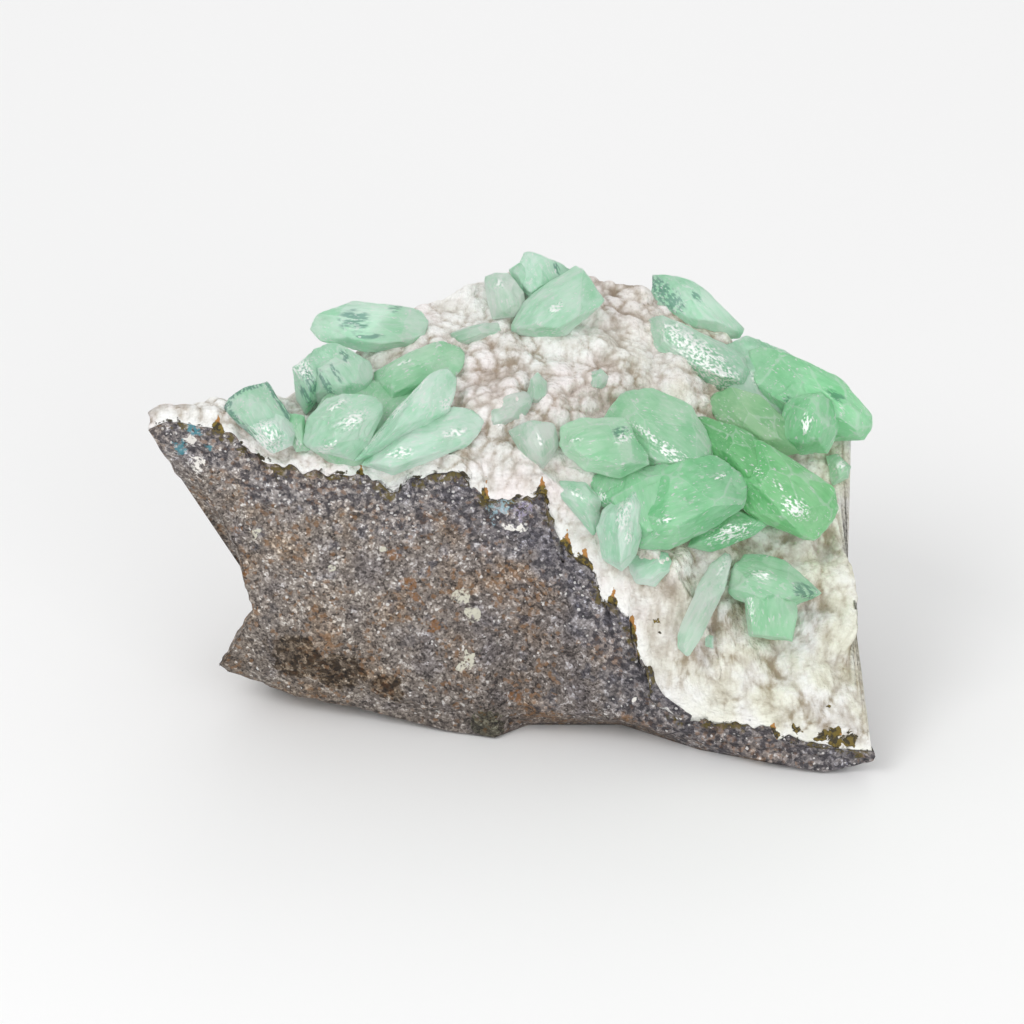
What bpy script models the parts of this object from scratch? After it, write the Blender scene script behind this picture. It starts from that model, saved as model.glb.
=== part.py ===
"""Apophyllite on mordenite: a broken block of basalt, the mordenite crust that
lines its sloping upper face, and the green apophyllite crystals on the crust.

X runs along the block, +Y goes to its back and +Z up. The block stands on z = 0.
"""

import math
from collections import namedtuple

import bmesh
import bpy
import numpy as np
from mathutils import Matrix, Vector
from mathutils.bvhtree import BVHTree

# ---------------------------------------------------------------- driving sizes
MM = 0.001
GAP = 0.3  # clear space between touching pieces, mm
STATIONS = 44  # sections along the block
CAP_SHARES = (0.3, 0.62, 0.86)  # how far each ring of an end closes towards its middle
BASALT_ENDS = ((-46.0, 6.0, 13.0), (61.0, -1.0, 18.0))  # middle of the broken face at each end, mm
CRUST_NORMAL = Vector((0.0, -0.571, 0.821))  # square to the crust's growth plane
CRUST_UPHILL = Vector((0.0, 0.821, 0.571))  # up the growth plane
CRUST_ORIGIN = Vector((0.0, -21.0, 44.0))  # on the front edge, mm
ABOVE_CRUST = 60.0  # a height clear of everything over the growth plane, mm
CLEARANCE = 1.4 * GAP  # how far the rock is grown, corner by corner, to cut a crystal clear of it, mm
LUMP = 13.0  # width of the broken lumps of the basalt, mm
LUMP_HEIGHT = 1.1  # mm
LUMP_FADE = 4.0  # height above the base over which the lumps reach their full size, mm
BUMP = 7.0  # width of the rounded bumps of the crust, mm
BUMP_HEIGHT = 1.0  # mm
LUMP_SEED, SMALL_LUMP_SEED, BUMP_SEED = 3, 4, 7  # each pattern of lumps repeats from its own number
CORNER = 0.82  # where the four edges of a crystal are cut off, as a share of its half width

# The block is a loft through rails. Each rail is a broken line from the left end
# of the block to its right end, as (x, y, z) in mm.
CONTACT = [  # where crust meets basalt on the front face
    (-65, -12, 58), (-61.5, -12.5, 60), (-57, -13, 59.5), (-52.5, -13.5, 59), (-47.5, -14, 55),
    (-42, -14.5, 51.5), (-31, -15.5, 51), (-27.5, -15.5, 51), (-23.5, -16, 48), (-21.5, -16.5, 47),
    (-18.5, -17, 50), (-13, -17.5, 52.5), (-8.5, -18, 52), (-5, -19, 46.5), (0.5, -19.5, 48),
    (5.5, -20, 49.5), (7, -21, 42), (11, -22, 37.5), (14.5, -23, 35.5), (16, -24, 30),
    (18, -25, 29.5), (21, -26.5, 25.5), (22, -27, 21), (24, -28, 18), (24.7, -28.5, 12.5),
    (30, -29.5, 8), (38, -31.5, 8.5), (44, -33, 9.5), (48, -34, 7.5), (55, -35.5, 6.3), (64.5, -36, 5.5),
]
FACE_UPPER = [(-56, -12, 48), (-40, -15, 43), (-20, -17, 40), (0, -20, 38), (14, -23, 29), (24, -28, 15),
              (36, -31, 7.2), (64.8, -36.2, 5)]
FACE_MIDDLE = [(-51.5, -13, 36), (-35, -17, 33), (-15, -19, 28), (5, -21.5, 25), (20, -26, 17),
               (32, -29.5, 6.8), (65, -36.2, 4.6)]
RIDGE = [(-47, -14, 22), (-40, -16.5, 20.5), (-34, -18, 19), (-28, -18.5, 14.5), (-26, -18.5, 9.5),
         (-13, -21.5, 6.5), (-4, -24, 7), (1.5, -22, 8), (20, -26, 9), (34, -30.5, 5), (65, -36, 4)]
UNDERCUT = [(-54, -11, 9), (-40, -14, 9), (-30, -16, 7.5), (-24, -17.5, 5.5), (-13, -20.5, 3.5),
            (-4, -23.2, 3), (1.5, -21.5, 5.5), (20, -25.5, 7), (34, -30, 4), (65, -35.5, 3.4)]
FRONT_FOOT = [(-52.5, -10, 7), (-40, -12, 5), (-31, -15, 4), (-21, -18, 2), (-12.5, -20, 0.6),
              (-3, -22.5, 0.4), (0.5, -21, 3), (10, -22.5, 5.7), (20, -24.5, 5.6), (26, -27, 4.4),
              (38, -31, 2.9), (46, -33, 1.6), (56, -34.8, 0.6), (64, -34.5, 2.4)]
BASE_FRONT = [(-43, -2, 0), (-30, -8, 0), (-20, -14, 0), (-12, -18.5, 0), (-3, -21.5, 0), (3, -17, 0),
              (20, -17, 0), (34, -26, 0), (50, -32, 0), (56, -33.5, 0), (60, -32, 0)]
BASE_BACK = [(-39, 17, 0), (-20, 27, 0), (10, 31, 0), (35, 27, 0), (55, 8, 0)]
BACK_FOOT = [(-43, 18, 6), (-20, 31, 7), (10, 35, 6), (36, 30, 6), (59, 10, 5)]
BACK_MIDDLE = [(-47, 10, 32), (-30, 21, 35), (0, 31, 37), (20, 32, 35), (42, 26, 30), (56.5, 9, 25)]
BACK_UPPER = [(-55, 2, 49), (-40, 10, 48), (-20, 20, 56), (0, 28, 60), (20, 29.5, 58), (42, 23, 46),
              (58, 8.5, 37)]
BACK_EDGE = [(-62, -4, 55.5), (-52, -1, 54), (-40, 5, 53), (-30, 10, 58), (-20, 15, 65), (-11, 18.5, 68.5),
             (-9, 17.5, 71.5), (0, 21.5, 73.2), (2, 23, 69.5), (14, 25, 66.5), (24, 25, 64), (42.5, 19, 54),
             (52, 13, 48.5), (60.5, 8, 44)]
UNDER_HIGH = [(-63, -7.5, 56.5), (-40, -2, 52), (-20, 3, 59.5), (0, 9, 62.5), (20, 11, 57), (42, 4, 40.5),
              (56.5, -2, 35)]
UNDER_LOW = [(-64, -10, 57), (-42, -9.5, 51.5), (-20, -8, 53), (0, -6.5, 53.5), (20, -9, 41), (35, -15, 25),
             (59.5, -17, 20)]
SHOULDER = [(-64.8, -11.5, 60.5), (-61.5, -12, 62.8), (-52.5, -12.5, 62.5), (-42, -13, 55.5),
            (-27, -14, 54.5), (-21.5, -15, 51), (-13, -16, 55.5), (-5, -17.3, 51), (5.5, -19, 53),
            (8, -20, 50), (12, -20.5, 46), (20, -23.5, 40), (29, -26, 36), (33, -27.5, 29),
            (37.5, -30.5, 16), (44, -32.5, 14.5), (55, -34.5, 11), (64.3, -34.8, 9)]
SLOPE_FOOT = [(-64.7, -11, 60.5), (-52.5, -11.5, 62.3), (-42, -11.5, 57), (-20, -12, 56.5), (0, -13.5, 56),
              (8, -16, 53.5), (20, -19, 46), (33, -23.5, 34), (44, -28.5, 20.5), (60.5, -26.5, 17)]
SLOPE_LOW = [(-64.6, -10.5, 60.5), (-52, -10, 62), (-40, -8, 57.5), (-20, -8, 58.5), (0, -8, 60),
             (20, -13, 52.5), (36, -19, 39), (50, -22, 28), (62.3, -18.5, 27)]
SLOPE_HIGH = [(-63.6, -9, 60), (-50, -6, 59.5), (-36, -1, 60), (-20, 2, 65.5), (0, 6, 68), (20, 6, 64),
              (36, 0, 55), (48, -6, 45), (57.3, -10.5, 36.5)]
CREST = [(-63, -7.5, 59.5), (-59.5, -6, 59.5), (-52.5, -4, 57.8), (-40, 2, 57), (-30, 7, 62),
         (-20, 12, 69.4), (-9.5, 15.5, 72), (-0.5, 19.5, 73), (2, 20.5, 73.5), (14, 22, 71),
         (24, 22, 68.6), (33, 20, 63.5), (43, 16, 58.5), (52, 10, 53), (60, 5, 49)]

# Each loop goes once round the block: (rail, points from it up to the next rail).
BASALT_LOOP = [(CONTACT, 3), (FACE_UPPER, 3), (FACE_MIDDLE, 3), (RIDGE, 2), (UNDERCUT, 1), (FRONT_FOOT, 1),
               (BASE_FRONT, 2), (BASE_BACK, 1), (BACK_FOOT, 3), (BACK_MIDDLE, 3), (BACK_UPPER, 1)]
CRUST_LOOP = [(CONTACT, 1), (SHOULDER, 2), (SLOPE_FOOT, 2), (SLOPE_LOW, 5), (SLOPE_HIGH, 5), (CREST, 1)]
INTERFACE_LOOP = [(BACK_EDGE, 3), (UNDER_HIGH, 3), (UNDER_LOW, 3)]  # closes both, back to front

# A crystal stands on the crust at (along, up) mm of the growth plane. heading is its
# direction in that plane from +X towards uphill and rise its angle off the plane, in
# degrees; turn rolls it about its own length. top is the share of its width left at the
# tip, foot the share left at the buried end, and waist where along it is widest. cant is
# the slope of its end face and sink how deep it goes into the crust.
Crystal = namedtuple("Crystal", "along up heading rise length width depth turn top foot waist cant sink")
CLUSTERS = {
    "crystal_left_cube": [Crystal(-44, 13.5, 113, 35, 10.5, 9, 8, 25, 0.9, 0.95, 0.8, 0, 2)],
    "crystal_left_point": [Crystal(-16, 39, 181, 0, 21.5, 7.5, 7, 40, 0.12, 0.6, 0.6, 0, 1)],
    "cluster_left": [
        Crystal(-34.5, 20.5, 104, 30, 10.5, 8.5, 4, 10, 0.85, 0.8, 0.75, -0.5, 2),
        Crystal(-29, 23, 103, 40, 9.5, 10, 8, 30, 0.75, 0.8, 0.6, 0.3, 2),
        Crystal(-32, 13, 37, 35, 11.5, 10.5, 8, 20, 0.6, 0.7, 0.6, 0.2, 2),
        Crystal(-24, 11.5, 40, 30, 20, 9, 7, 40, 0.6, 0.65, 0.6, 0.3, 2),
        Crystal(-24, 23.5, 18, 30, 18.5, 7.5, 7, 30, 0.5, 0.6, 0.6, 0.2, 2),
        Crystal(-20, 10.5, 9, 35, 17.5, 8.5, 7, 20, 0.6, 0.6, 0.55, 0, 2),
        Crystal(-36, 13, 99, 38, 5.5, 3.6, 4, 20, 0.5, 0.8, 0.6, 0, 2),
    ],
    "crystal_pale_centre": [Crystal(-3.5, 17, 39, 25, 8.5, 4.5, 4, 30, 0.5, 0.6, 0.6, 0, 2)],
    "crystal_embedded": [Crystal(4.5, 8.8, 107, 50, 8.5, 8.5, 7.5, 20, 0.65, 0.8, 0.6, 0, 2)],
    "crystal_striated": [Crystal(-11.5, 34.5, 16, 8, 8, 3.5, 3, 20, 0.7, 0.8, 0.5, 0, 1)],
    "cluster_top": [
        Crystal(4.7, 39, 24, 35, 13, 10, 8.5, 20, 0.6, 0.7, 0.6, 0, 2),
        Crystal(7, 44.7, 113, 40, 9, 9.5, 7, 40, 0.45, 0.85, 0.6, 0.3, 2),
        Crystal(2.5, 45.5, 114, 30, 6, 4, 4, 20, 0.3, 0.8, 0.6, 0, 2),
        Crystal(-0.5, 41, 100, 30, 7, 7, 6, 10, 0.85, 0.9, 0.6, -0.2, 2),
    ],
    "cluster_centre": [
        Crystal(17, 11, 109, 50, 8, 12.5, 9, 10, 0.85, 0.9, 0.6, 0.2, 2),
        Crystal(26.5, 11.5, 107, 35, 14, 15.5, 11, 30, 0.6, 0.85, 0.5, 0.3, 2),
        Crystal(18.7, -5.5, 76, 46, 12.5, 8, 9, 40, 0.15, 0.6, 0.5, 0, 2),
        Crystal(15.5, -1, 137, 25, 10.5, 4.8, 5.2, 20, 0.5, 0.8, 0.45, 0, 3),
        Crystal(23.5, 0.5, 90, 28, 11, 15, 7.5, 15, 0.7, 0.75, 0.5, 0, 2),
        Crystal(28, 1, 25, 30, 16, 11.5, 9, 25, 0.6, 0.8, 0.55, 0.2, 2),
        Crystal(35, -0.5, 16, 15, 10.5, 6, 5.5, 25, 0.4, 0.7, 0.5, 0, 2),
        Crystal(32.5, 18.5, -34, 5, 29, 13, 11, 30, 0.6, 0.6, 0.65, 0, 3),
        Crystal(46.5, 17, 138, 14, 12.5, 7.5, 7.5, 30, 0.45, 0.8, 0.55, 0, 3),
    ],
    "cluster_right": [
        Crystal(40.5, 39.5, 136, 6, 21, 7, 7, 30, 0.6, 0.75, 0.5, 0, 5),
        Crystal(43, 31, 154, 15, 22, 8.5, 7.5, 20, 0.45, 0.5, 0.5, 0, 2),
        Crystal(45, 36.5, -35, 5, 23.5, 11.5, 9.5, 25, 0.45, 0.6, 0.55, 0, 3),
        Crystal(54, 22, 84, 45, 9, 9, 8.5, 20, 0.7, 0.8, 0.5, 0, 2),
    ],
    "crystal_edge": [Crystal(57, 13.5, 51, 40, 5.5, 3.5, 3.5, 20, 0.6, 0.8, 0.6, 0, 1)],
    "crystal_blade": [Crystal(37, -3.5, -114, -12, 18, 4.8, 4.5, 20, 0.5, 0.6, 0.5, 0, 1)],
    "crystal_lower": [
        Crystal(46, -7.5, -90, 0, 10.5, 7.5, 6.5, 5, 0.9, 0.85, 0.7, 0, 2),
        Crystal(42, -6.5, -20, 5, 13, 7.5, 6, 30, 0.5, 0.7, 0.5, 0, 1),
    ],
}

Look = namedtuple("Look", "colour roughness")
BASALT_LOOK = Look((0.16, 0.125, 0.105), 0.9)
CRUST_LOOK = Look((0.78, 0.74, 0.7), 0.85)
CRYSTAL_LOOK = Look((0.33, 0.68, 0.48), 0.25)


# ---------------------------------------------------------------- noise
def lattice_value(cell, seed):
    """A repeatable number from -1 to 1 for each whole-number cell."""
    mixed = cell[..., 0] * 127.1 + cell[..., 1] * 311.7 + cell[..., 2] * 74.7 + seed * 19.3
    return 2 * np.modf(np.abs(np.sin(mixed) * 43758.5453))[0] - 1


def smooth_noise(points, width, seed):
    """Value noise: lattice values every width mm, eased between the eight corners of a cell."""
    scaled = points / width
    cell = np.floor(scaled)
    part = scaled - cell
    part = part * part * (3 - 2 * part)
    total = np.zeros(points.shape[:-1])
    for corner in np.ndindex(2, 2, 2):
        corner = np.array(corner)
        weight = np.prod(np.where(corner, part, 1 - part), axis=-1)
        total += weight * lattice_value(cell + corner, seed)
    return total


# ---------------------------------------------------------------- lofting
def rail_points(rail, shares):
    """Points of a rail at the given shares of its reach along X."""
    rail = np.array(rail, float)
    x = rail[0, 0] + shares * (rail[-1, 0] - rail[0, 0])
    return np.stack([x, np.interp(x, rail[:, 0], rail[:, 1]), np.interp(x, rail[:, 0], rail[:, 2])], axis=-1)


def loft(loop, shares, closing_rail=None):
    """A grid of points, one row a station: straight between each rail and the next one of the loop."""
    columns = []
    for index, (rail, steps) in enumerate(loop):
        following = loop[(index + 1) % len(loop)][0]
        if closing_rail is not None and index == len(loop) - 1:
            following = closing_rail
        near = rail_points(rail, shares)
        far = rail_points(following, shares)
        columns += [near + (far - near) * step / steps for step in range(steps)]
    return np.stack(columns, axis=1)


def grid_normals(grid):
    """Unit normals of a grid that is closed across its rows."""
    along = np.gradient(grid, axis=0)
    across = np.roll(grid, -1, axis=1) - np.roll(grid, 1, axis=1)
    normal = np.cross(along, across)
    return normal / np.maximum(np.linalg.norm(normal, axis=-1, keepdims=True), 1e-9)


def with_caps(grid, middles=None):
    """The grid with rings added at both ends that shrink towards each end's middle."""
    left, right = np.array(middles) if middles else (grid[0].mean(axis=0), grid[-1].mean(axis=0))
    left_rings = [grid[0] + (left - grid[0]) * share for share in reversed(CAP_SHARES)]
    right_rings = [grid[-1] + (right - grid[-1]) * share for share in CAP_SHARES]
    return np.concatenate([left_rings, grid, right_rings])


def closed_object(name, grid, look):
    """One closed object from a grid: two triangles a cell, and a fan at each end."""
    rows, columns = grid.shape[:2]
    points = np.concatenate([grid.reshape(-1, 3), [grid[0].mean(axis=0)], [grid[-1].mean(axis=0)]])
    faces = []
    for row in range(rows - 1):
        for column in range(columns):
            beside = (column + 1) % columns
            here = row * columns + column
            side = row * columns + beside
            faces.append((here, here + columns, side + columns))
            faces.append((here, side + columns, side))
    last = (rows - 1) * columns
    for column in range(columns):
        beside = (column + 1) % columns
        faces.append((rows * columns, column, beside))
        faces.append((rows * columns + 1, last + beside, last + column))
    mesh = bpy.data.meshes.new(name)
    mesh.from_pydata([tuple(point * MM) for point in points], [], faces)
    return add_object(name, mesh, look)


def add_object(name, mesh, look):
    work = bmesh.new()
    work.from_mesh(mesh)
    bmesh.ops.recalc_face_normals(work, faces=work.faces)
    work.to_mesh(mesh)
    work.free()
    piece = bpy.data.objects.new(name, mesh)
    bpy.context.scene.collection.objects.link(piece)
    mesh.materials.append(material_for(name, look))
    return piece


def material_for(name, look):
    material = bpy.data.materials.new(name)
    material.use_nodes = True
    shader = material.node_tree.nodes["Principled BSDF"]
    shader.inputs["Base Color"].default_value = (*look.colour, 1)
    shader.inputs["Roughness"].default_value = look.roughness
    shader.inputs["Metallic"].default_value = 0
    return material


# ---------------------------------------------------------------- basalt
def interface_grid(shares):
    """The surface that the crust grew on, from its back edge to the front contact line."""
    return loft(INTERFACE_LOOP, shares, closing_rail=CONTACT)


def build_basalt(shares):
    """The broken block: every free face is roughened, the base and the crust's seat are not."""
    outside = loft(BASALT_LOOP, shares, closing_rail=BACK_EDGE)
    seat = interface_grid(shares)
    grid = with_caps(np.concatenate([outside, seat], axis=1), BASALT_ENDS)
    free = np.ones(grid.shape[:2])
    free[:, outside.shape[1]:] = 0
    free[:, 0] = 0
    free *= np.clip(grid[..., 2] / LUMP_FADE, 0, 1)
    lumps = LUMP_HEIGHT * smooth_noise(grid, LUMP, LUMP_SEED)
    lumps += LUMP_HEIGHT / 2 * smooth_noise(grid, LUMP / 2, SMALL_LUMP_SEED)
    grid = grid + grid_normals(grid) * (lumps * free)[..., None]
    return closed_object("basalt_matrix", grid, BASALT_LOOK)


# ---------------------------------------------------------------- crust
def build_crust(shares):
    """The crust over the seat: a thin broken rim at the front, soft rounded bumps above it."""
    outside = loft(CRUST_LOOP, shares, closing_rail=BACK_EDGE)
    seat = interface_grid(shares)
    grid = np.concatenate([outside, seat], axis=1)
    free = np.zeros(grid.shape[:2])
    free[:, 2:outside.shape[1]] = 1
    bumps = BUMP_HEIGHT * (2 * np.abs(smooth_noise(grid, BUMP, BUMP_SEED)) - 1)
    grid = grid + np.array(CRUST_NORMAL) * (bumps * free)[..., None]
    grid = grid + np.array(CRUST_NORMAL) * GAP
    return closed_object("mordenite_crust", with_caps(grid), CRUST_LOOK)


# ---------------------------------------------------------------- crystals
def crust_point(tree, along, up):
    """The crust's surface, in mm, straight below or above a place on the growth plane."""
    above = CRUST_ORIGIN + Vector((along, 0, 0)) + CRUST_UPHILL * up + CRUST_NORMAL * ABOVE_CRUST
    hit = tree.ray_cast(above * MM, -CRUST_NORMAL)[0]
    return hit / MM


def crystal_frame(spec):
    """Axes of a crystal: across its width, through its depth and along its length."""
    heading = math.radians(spec.heading)
    rise = math.radians(spec.rise)
    flat = Vector((1, 0, 0)) * math.cos(heading) + CRUST_UPHILL * math.sin(heading)
    length = flat * math.cos(rise) + CRUST_NORMAL * math.sin(rise)
    width = CRUST_NORMAL.cross(length).normalized()
    width.rotate(Matrix.Rotation(math.radians(spec.turn), 3, length))
    return width, length.cross(width), length


def crystal_points(spec, foot):
    """Corners of a tetragonal crystal: an eight-sided ring at the foot, the waist and the tip."""
    width, depth, length = crystal_frame(spec)
    outline = [(1, CORNER), (CORNER, 1), (-CORNER, 1), (-1, CORNER),
               (-1, -CORNER), (-CORNER, -1), (CORNER, -1), (1, -CORNER)]
    rings = [(-spec.sink, spec.foot, 0), (spec.length * spec.waist, 1, 0), (spec.length, spec.top, spec.cant)]
    points = []
    for reach, share, cant in rings:
        for u, v in outline:
            across = u * share * spec.width / 2
            through = v * share * spec.depth / 2
            points.append(foot + width * across + depth * through + length * (reach + cant * across))
    return points


def crystal_object(name, points, look):
    work = bmesh.new()
    for point in points:
        work.verts.new(point * MM)
    made = bmesh.ops.convex_hull(work, input=work.verts)
    inside = [item for item in made["geom_interior"] if isinstance(item, bmesh.types.BMVert)]
    bmesh.ops.delete(work, geom=inside, context="VERTS")
    mesh = bpy.data.meshes.new(name)
    work.to_mesh(mesh)
    work.free()
    return add_object(name, mesh, look)


def grown_copy(piece, distance):
    """A cutter: the piece with each corner moved out along its normal."""
    cutter = piece.copy()
    cutter.data = piece.data.copy()
    cutter.name = piece.name + "_clearance"
    bpy.context.scene.collection.objects.link(cutter)
    for vertex, place in zip(cutter.data.vertices, [v.co + v.normal * distance for v in piece.data.vertices]):
        vertex.co = place
    return cutter


def cut_or_join(piece, other, operation):
    modifier = piece.modifiers.new(operation.lower(), "BOOLEAN")
    modifier.operation = operation
    modifier.solver = "EXACT"
    modifier.object = other
    other.hide_render = True
    other.display_type = "WIRE"


def settle(piece):
    """Replace a piece's mesh by what its modifiers make, keeping only its largest body."""
    bpy.context.view_layer.update()
    shape = piece.evaluated_get(bpy.context.evaluated_depsgraph_get())
    work = bmesh.new()
    work.from_mesh(shape.to_mesh())
    bodies = loose_bodies(work)
    for body in bodies[1:]:
        bmesh.ops.delete(work, geom=body, context="VERTS")
    shape.to_mesh_clear()
    piece.modifiers.clear()
    work.to_mesh(piece.data)
    work.free()


def loose_bodies(work):
    """Groups of joined vertices, the largest first."""
    left = set(work.verts)
    bodies = []
    while left:
        body = {left.pop()}
        edge_of_body = list(body)
        while edge_of_body:
            vertex = edge_of_body.pop()
            for edge in vertex.link_edges:
                other = edge.other_vert(vertex)
                if other in left:
                    left.discard(other)
                    body.add(other)
                    edge_of_body.append(other)
        bodies.append(list(body))
    return sorted(bodies, key=len, reverse=True)


def build_cluster(name, specs, tree, cutters):
    """Crystals that grew through each other, joined in one solid and seated on the crust."""
    pieces = [crystal_object(f"{name}_{number}", crystal_points(spec, crust_point(tree, spec.along, spec.up)),
                             CRYSTAL_LOOK)
              for number, spec in enumerate(specs)]
    cluster = pieces[0]
    for other in pieces[1:]:
        cut_or_join(cluster, other, "UNION")
    for cutter in cutters:
        cut_or_join(cluster, cutter, "DIFFERENCE")
    settle(cluster)
    for other in pieces[1:]:
        bpy.data.objects.remove(other)
    cluster.name = name


for old in list(bpy.data.objects):
    bpy.data.objects.remove(old)

station_shares = np.linspace(0, 1, STATIONS)
basalt = build_basalt(station_shares)
crust = build_crust(station_shares)
crust_tree = BVHTree.FromPolygons([vertex.co for vertex in crust.data.vertices],
                                  [face.vertices for face in crust.data.polygons])
clearances = [grown_copy(crust, CLEARANCE * MM), grown_copy(basalt, CLEARANCE * MM)]
for cluster_name, crystals in CLUSTERS.items():
    build_cluster(cluster_name, crystals, crust_tree, clearances)
for clearance in clearances:
    bpy.data.objects.remove(clearance)
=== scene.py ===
"""Apophyllite on mordenite: a broken block of basalt, the white mordenite crust on
its sloping upper face, and the green apophyllite crystals that grew on the crust.

X runs along the block, +Y goes to its back, +Z is up, and the block stands on z = 0.
"""

import math
from collections import namedtuple

import bpy
import numpy as np
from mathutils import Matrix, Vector


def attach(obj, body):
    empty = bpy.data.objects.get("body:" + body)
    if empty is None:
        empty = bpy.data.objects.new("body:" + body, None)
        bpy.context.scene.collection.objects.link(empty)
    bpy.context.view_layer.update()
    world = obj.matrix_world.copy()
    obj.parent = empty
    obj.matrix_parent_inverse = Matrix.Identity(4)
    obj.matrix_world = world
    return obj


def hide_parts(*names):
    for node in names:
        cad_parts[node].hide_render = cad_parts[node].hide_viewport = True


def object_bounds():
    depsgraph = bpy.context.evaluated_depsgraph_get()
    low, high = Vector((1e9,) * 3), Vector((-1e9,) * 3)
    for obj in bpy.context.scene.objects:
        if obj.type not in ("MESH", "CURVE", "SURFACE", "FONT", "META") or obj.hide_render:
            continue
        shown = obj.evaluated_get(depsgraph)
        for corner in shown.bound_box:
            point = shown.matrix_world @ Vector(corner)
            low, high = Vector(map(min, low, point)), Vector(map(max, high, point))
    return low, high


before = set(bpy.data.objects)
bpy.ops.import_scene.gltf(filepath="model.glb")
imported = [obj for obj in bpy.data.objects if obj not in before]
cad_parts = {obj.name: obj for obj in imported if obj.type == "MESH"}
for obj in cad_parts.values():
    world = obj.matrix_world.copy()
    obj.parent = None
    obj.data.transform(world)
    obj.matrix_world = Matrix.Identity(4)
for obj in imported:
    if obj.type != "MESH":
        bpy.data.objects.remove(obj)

cad_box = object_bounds()

# ------------------------------------------------------------------ the basalt block
# The host rock is a lump of fine-grained basalt, hammered off the wall of a gas cavity
# in a lava flow. Its free faces are rough breaks: speckled grey-brown, charcoal for some
# millimetres under the cavity wall, with small filled bubbles and rust.
MM = 0.001
RIGHT = np.array([1.0, 0.0, 0.0])
BLOCK_STATIONS = 400
# Rails run from the left end of the block to its right end, as (x, y, z) in mm.
CONTACT = [  # where crust meets basalt on the front face
    (-65, -12, 58), (-61.5, -12.5, 60), (-57, -13, 59.5), (-52.5, -13.5, 59), (-47.5, -14, 55),
    (-42, -14.5, 51.5), (-31, -15.5, 51), (-27.5, -15.5, 51), (-23.5, -16, 48), (-21.5, -16.5, 47),
    (-18.5, -17, 50), (-13, -17.5, 52.5), (-8.5, -18, 52), (-5, -19, 46.5), (0.5, -19.5, 48),
    (5.5, -20, 49.5), (7, -21, 42), (11, -22, 37.5), (14.5, -23, 35.5), (16, -24, 30), (18, -25, 29.5),
    (21, -26.5, 25.5), (22, -27, 21), (24, -28, 18), (24.7, -28.5, 12.5), (30, -29.5, 8), (38, -31.5, 8.5),
    (44, -33, 9.5), (48, -34, 7.5), (55, -35.5, 6.3), (64.5, -36, 5.5),
]
FACE_UPPER = [(-56, -12, 48), (-40, -15, 43), (-20, -17, 40), (0, -20, 38), (14, -23, 29), (24, -28, 15),
              (36, -31, 7.2), (64.8, -36.2, 5)]
FACE_MIDDLE = [(-51.5, -13, 36), (-35, -17, 33), (-15, -19, 28), (5, -21.5, 25), (20, -26, 17),
               (32, -29.5, 6.8), (65, -36.2, 4.6)]
RIDGE = [(-47, -14, 22), (-40, -16.5, 20.5), (-34, -18, 19), (-28, -18.5, 14.5), (-26, -18.5, 9.5),
         (-13, -21.5, 6.5), (-4, -24, 7), (1.5, -22, 8), (20, -26, 9), (34, -30.5, 5), (65, -36, 4)]
UNDERCUT = [(-54, -11, 9), (-40, -14, 9), (-30, -16, 7.5), (-24, -17.5, 5.5), (-13, -20.5, 3.5),
            (-4, -23.2, 3), (1.5, -21.5, 5.5), (20, -25.5, 7), (34, -30, 4), (65, -35.5, 3.4)]
FRONT_FOOT = [(-52.5, -10, 7), (-40, -12, 5), (-31, -15, 4), (-21, -18, 2), (-12.5, -20, 0.6),
              (-3, -22.5, 0.4), (0.5, -21, 3), (10, -22.5, 5.7), (20, -24.5, 5.6), (26, -27, 4.4),
              (38, -31, 2.9), (46, -33, 1.6), (56, -34.8, 0.6), (64, -34.5, 2.4)]
BASE_FRONT = [(-43, -2, 0), (-30, -8, 0), (-20, -14, 0), (-12, -18.5, 0), (-3, -21.5, 0), (3, -17, 0),
              (20, -17, 0), (34, -26, 0), (50, -32, 0), (56, -33.5, 0), (60, -32, 0)]
BASE_BACK = [(-39, 17, 0), (-20, 27, 0), (10, 31, 0), (35, 27, 0), (55, 8, 0)]
BACK_FOOT = [(-43, 18, 6), (-20, 31, 7), (10, 35, 6), (36, 30, 6), (59, 10, 5)]
BACK_MIDDLE = [(-47, 10, 32), (-30, 21, 35), (0, 31, 37), (20, 32, 35), (42, 26, 30), (56.5, 9, 25)]
BACK_UPPER = [(-55, 2, 49), (-40, 10, 48), (-20, 20, 56), (0, 28, 60), (20, 29.5, 58), (42, 23, 46),
              (58, 8.5, 37)]
BACK_EDGE = [(-62, -4, 55.5), (-52, -1, 54), (-40, 5, 53), (-30, 10, 58), (-20, 15, 65), (-11, 18.5, 68.5),
             (-9, 17.5, 71.5), (0, 21.5, 73.2), (2, 23, 69.5), (14, 25, 66.5), (24, 25, 64), (42.5, 19, 54),
             (52, 13, 48.5), (60.5, 8, 44)]
UNDER_HIGH = [(-63, -7.5, 56.5), (-40, -2, 52), (-20, 3, 59.5), (0, 9, 62.5), (20, 11, 57), (42, 4, 40.5),
              (56.5, -2, 35)]
UNDER_LOW = [(-64, -10, 57), (-42, -9.5, 51.5), (-20, -8, 53), (0, -6.5, 53.5), (20, -9, 41), (35, -15, 25),
             (59.5, -17, 20)]
CONTACT_JAG = 0.75  # mm, how far the broken edge of the crust wanders up and down
BLOCK_ENDS = ((-46.0, 6.0, 13.0), (61.0, -1.0, 18.0))  # middle of the broken face at each end, mm
END_RINGS = 22  # rings of points from the rim of an end to its middle
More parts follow.
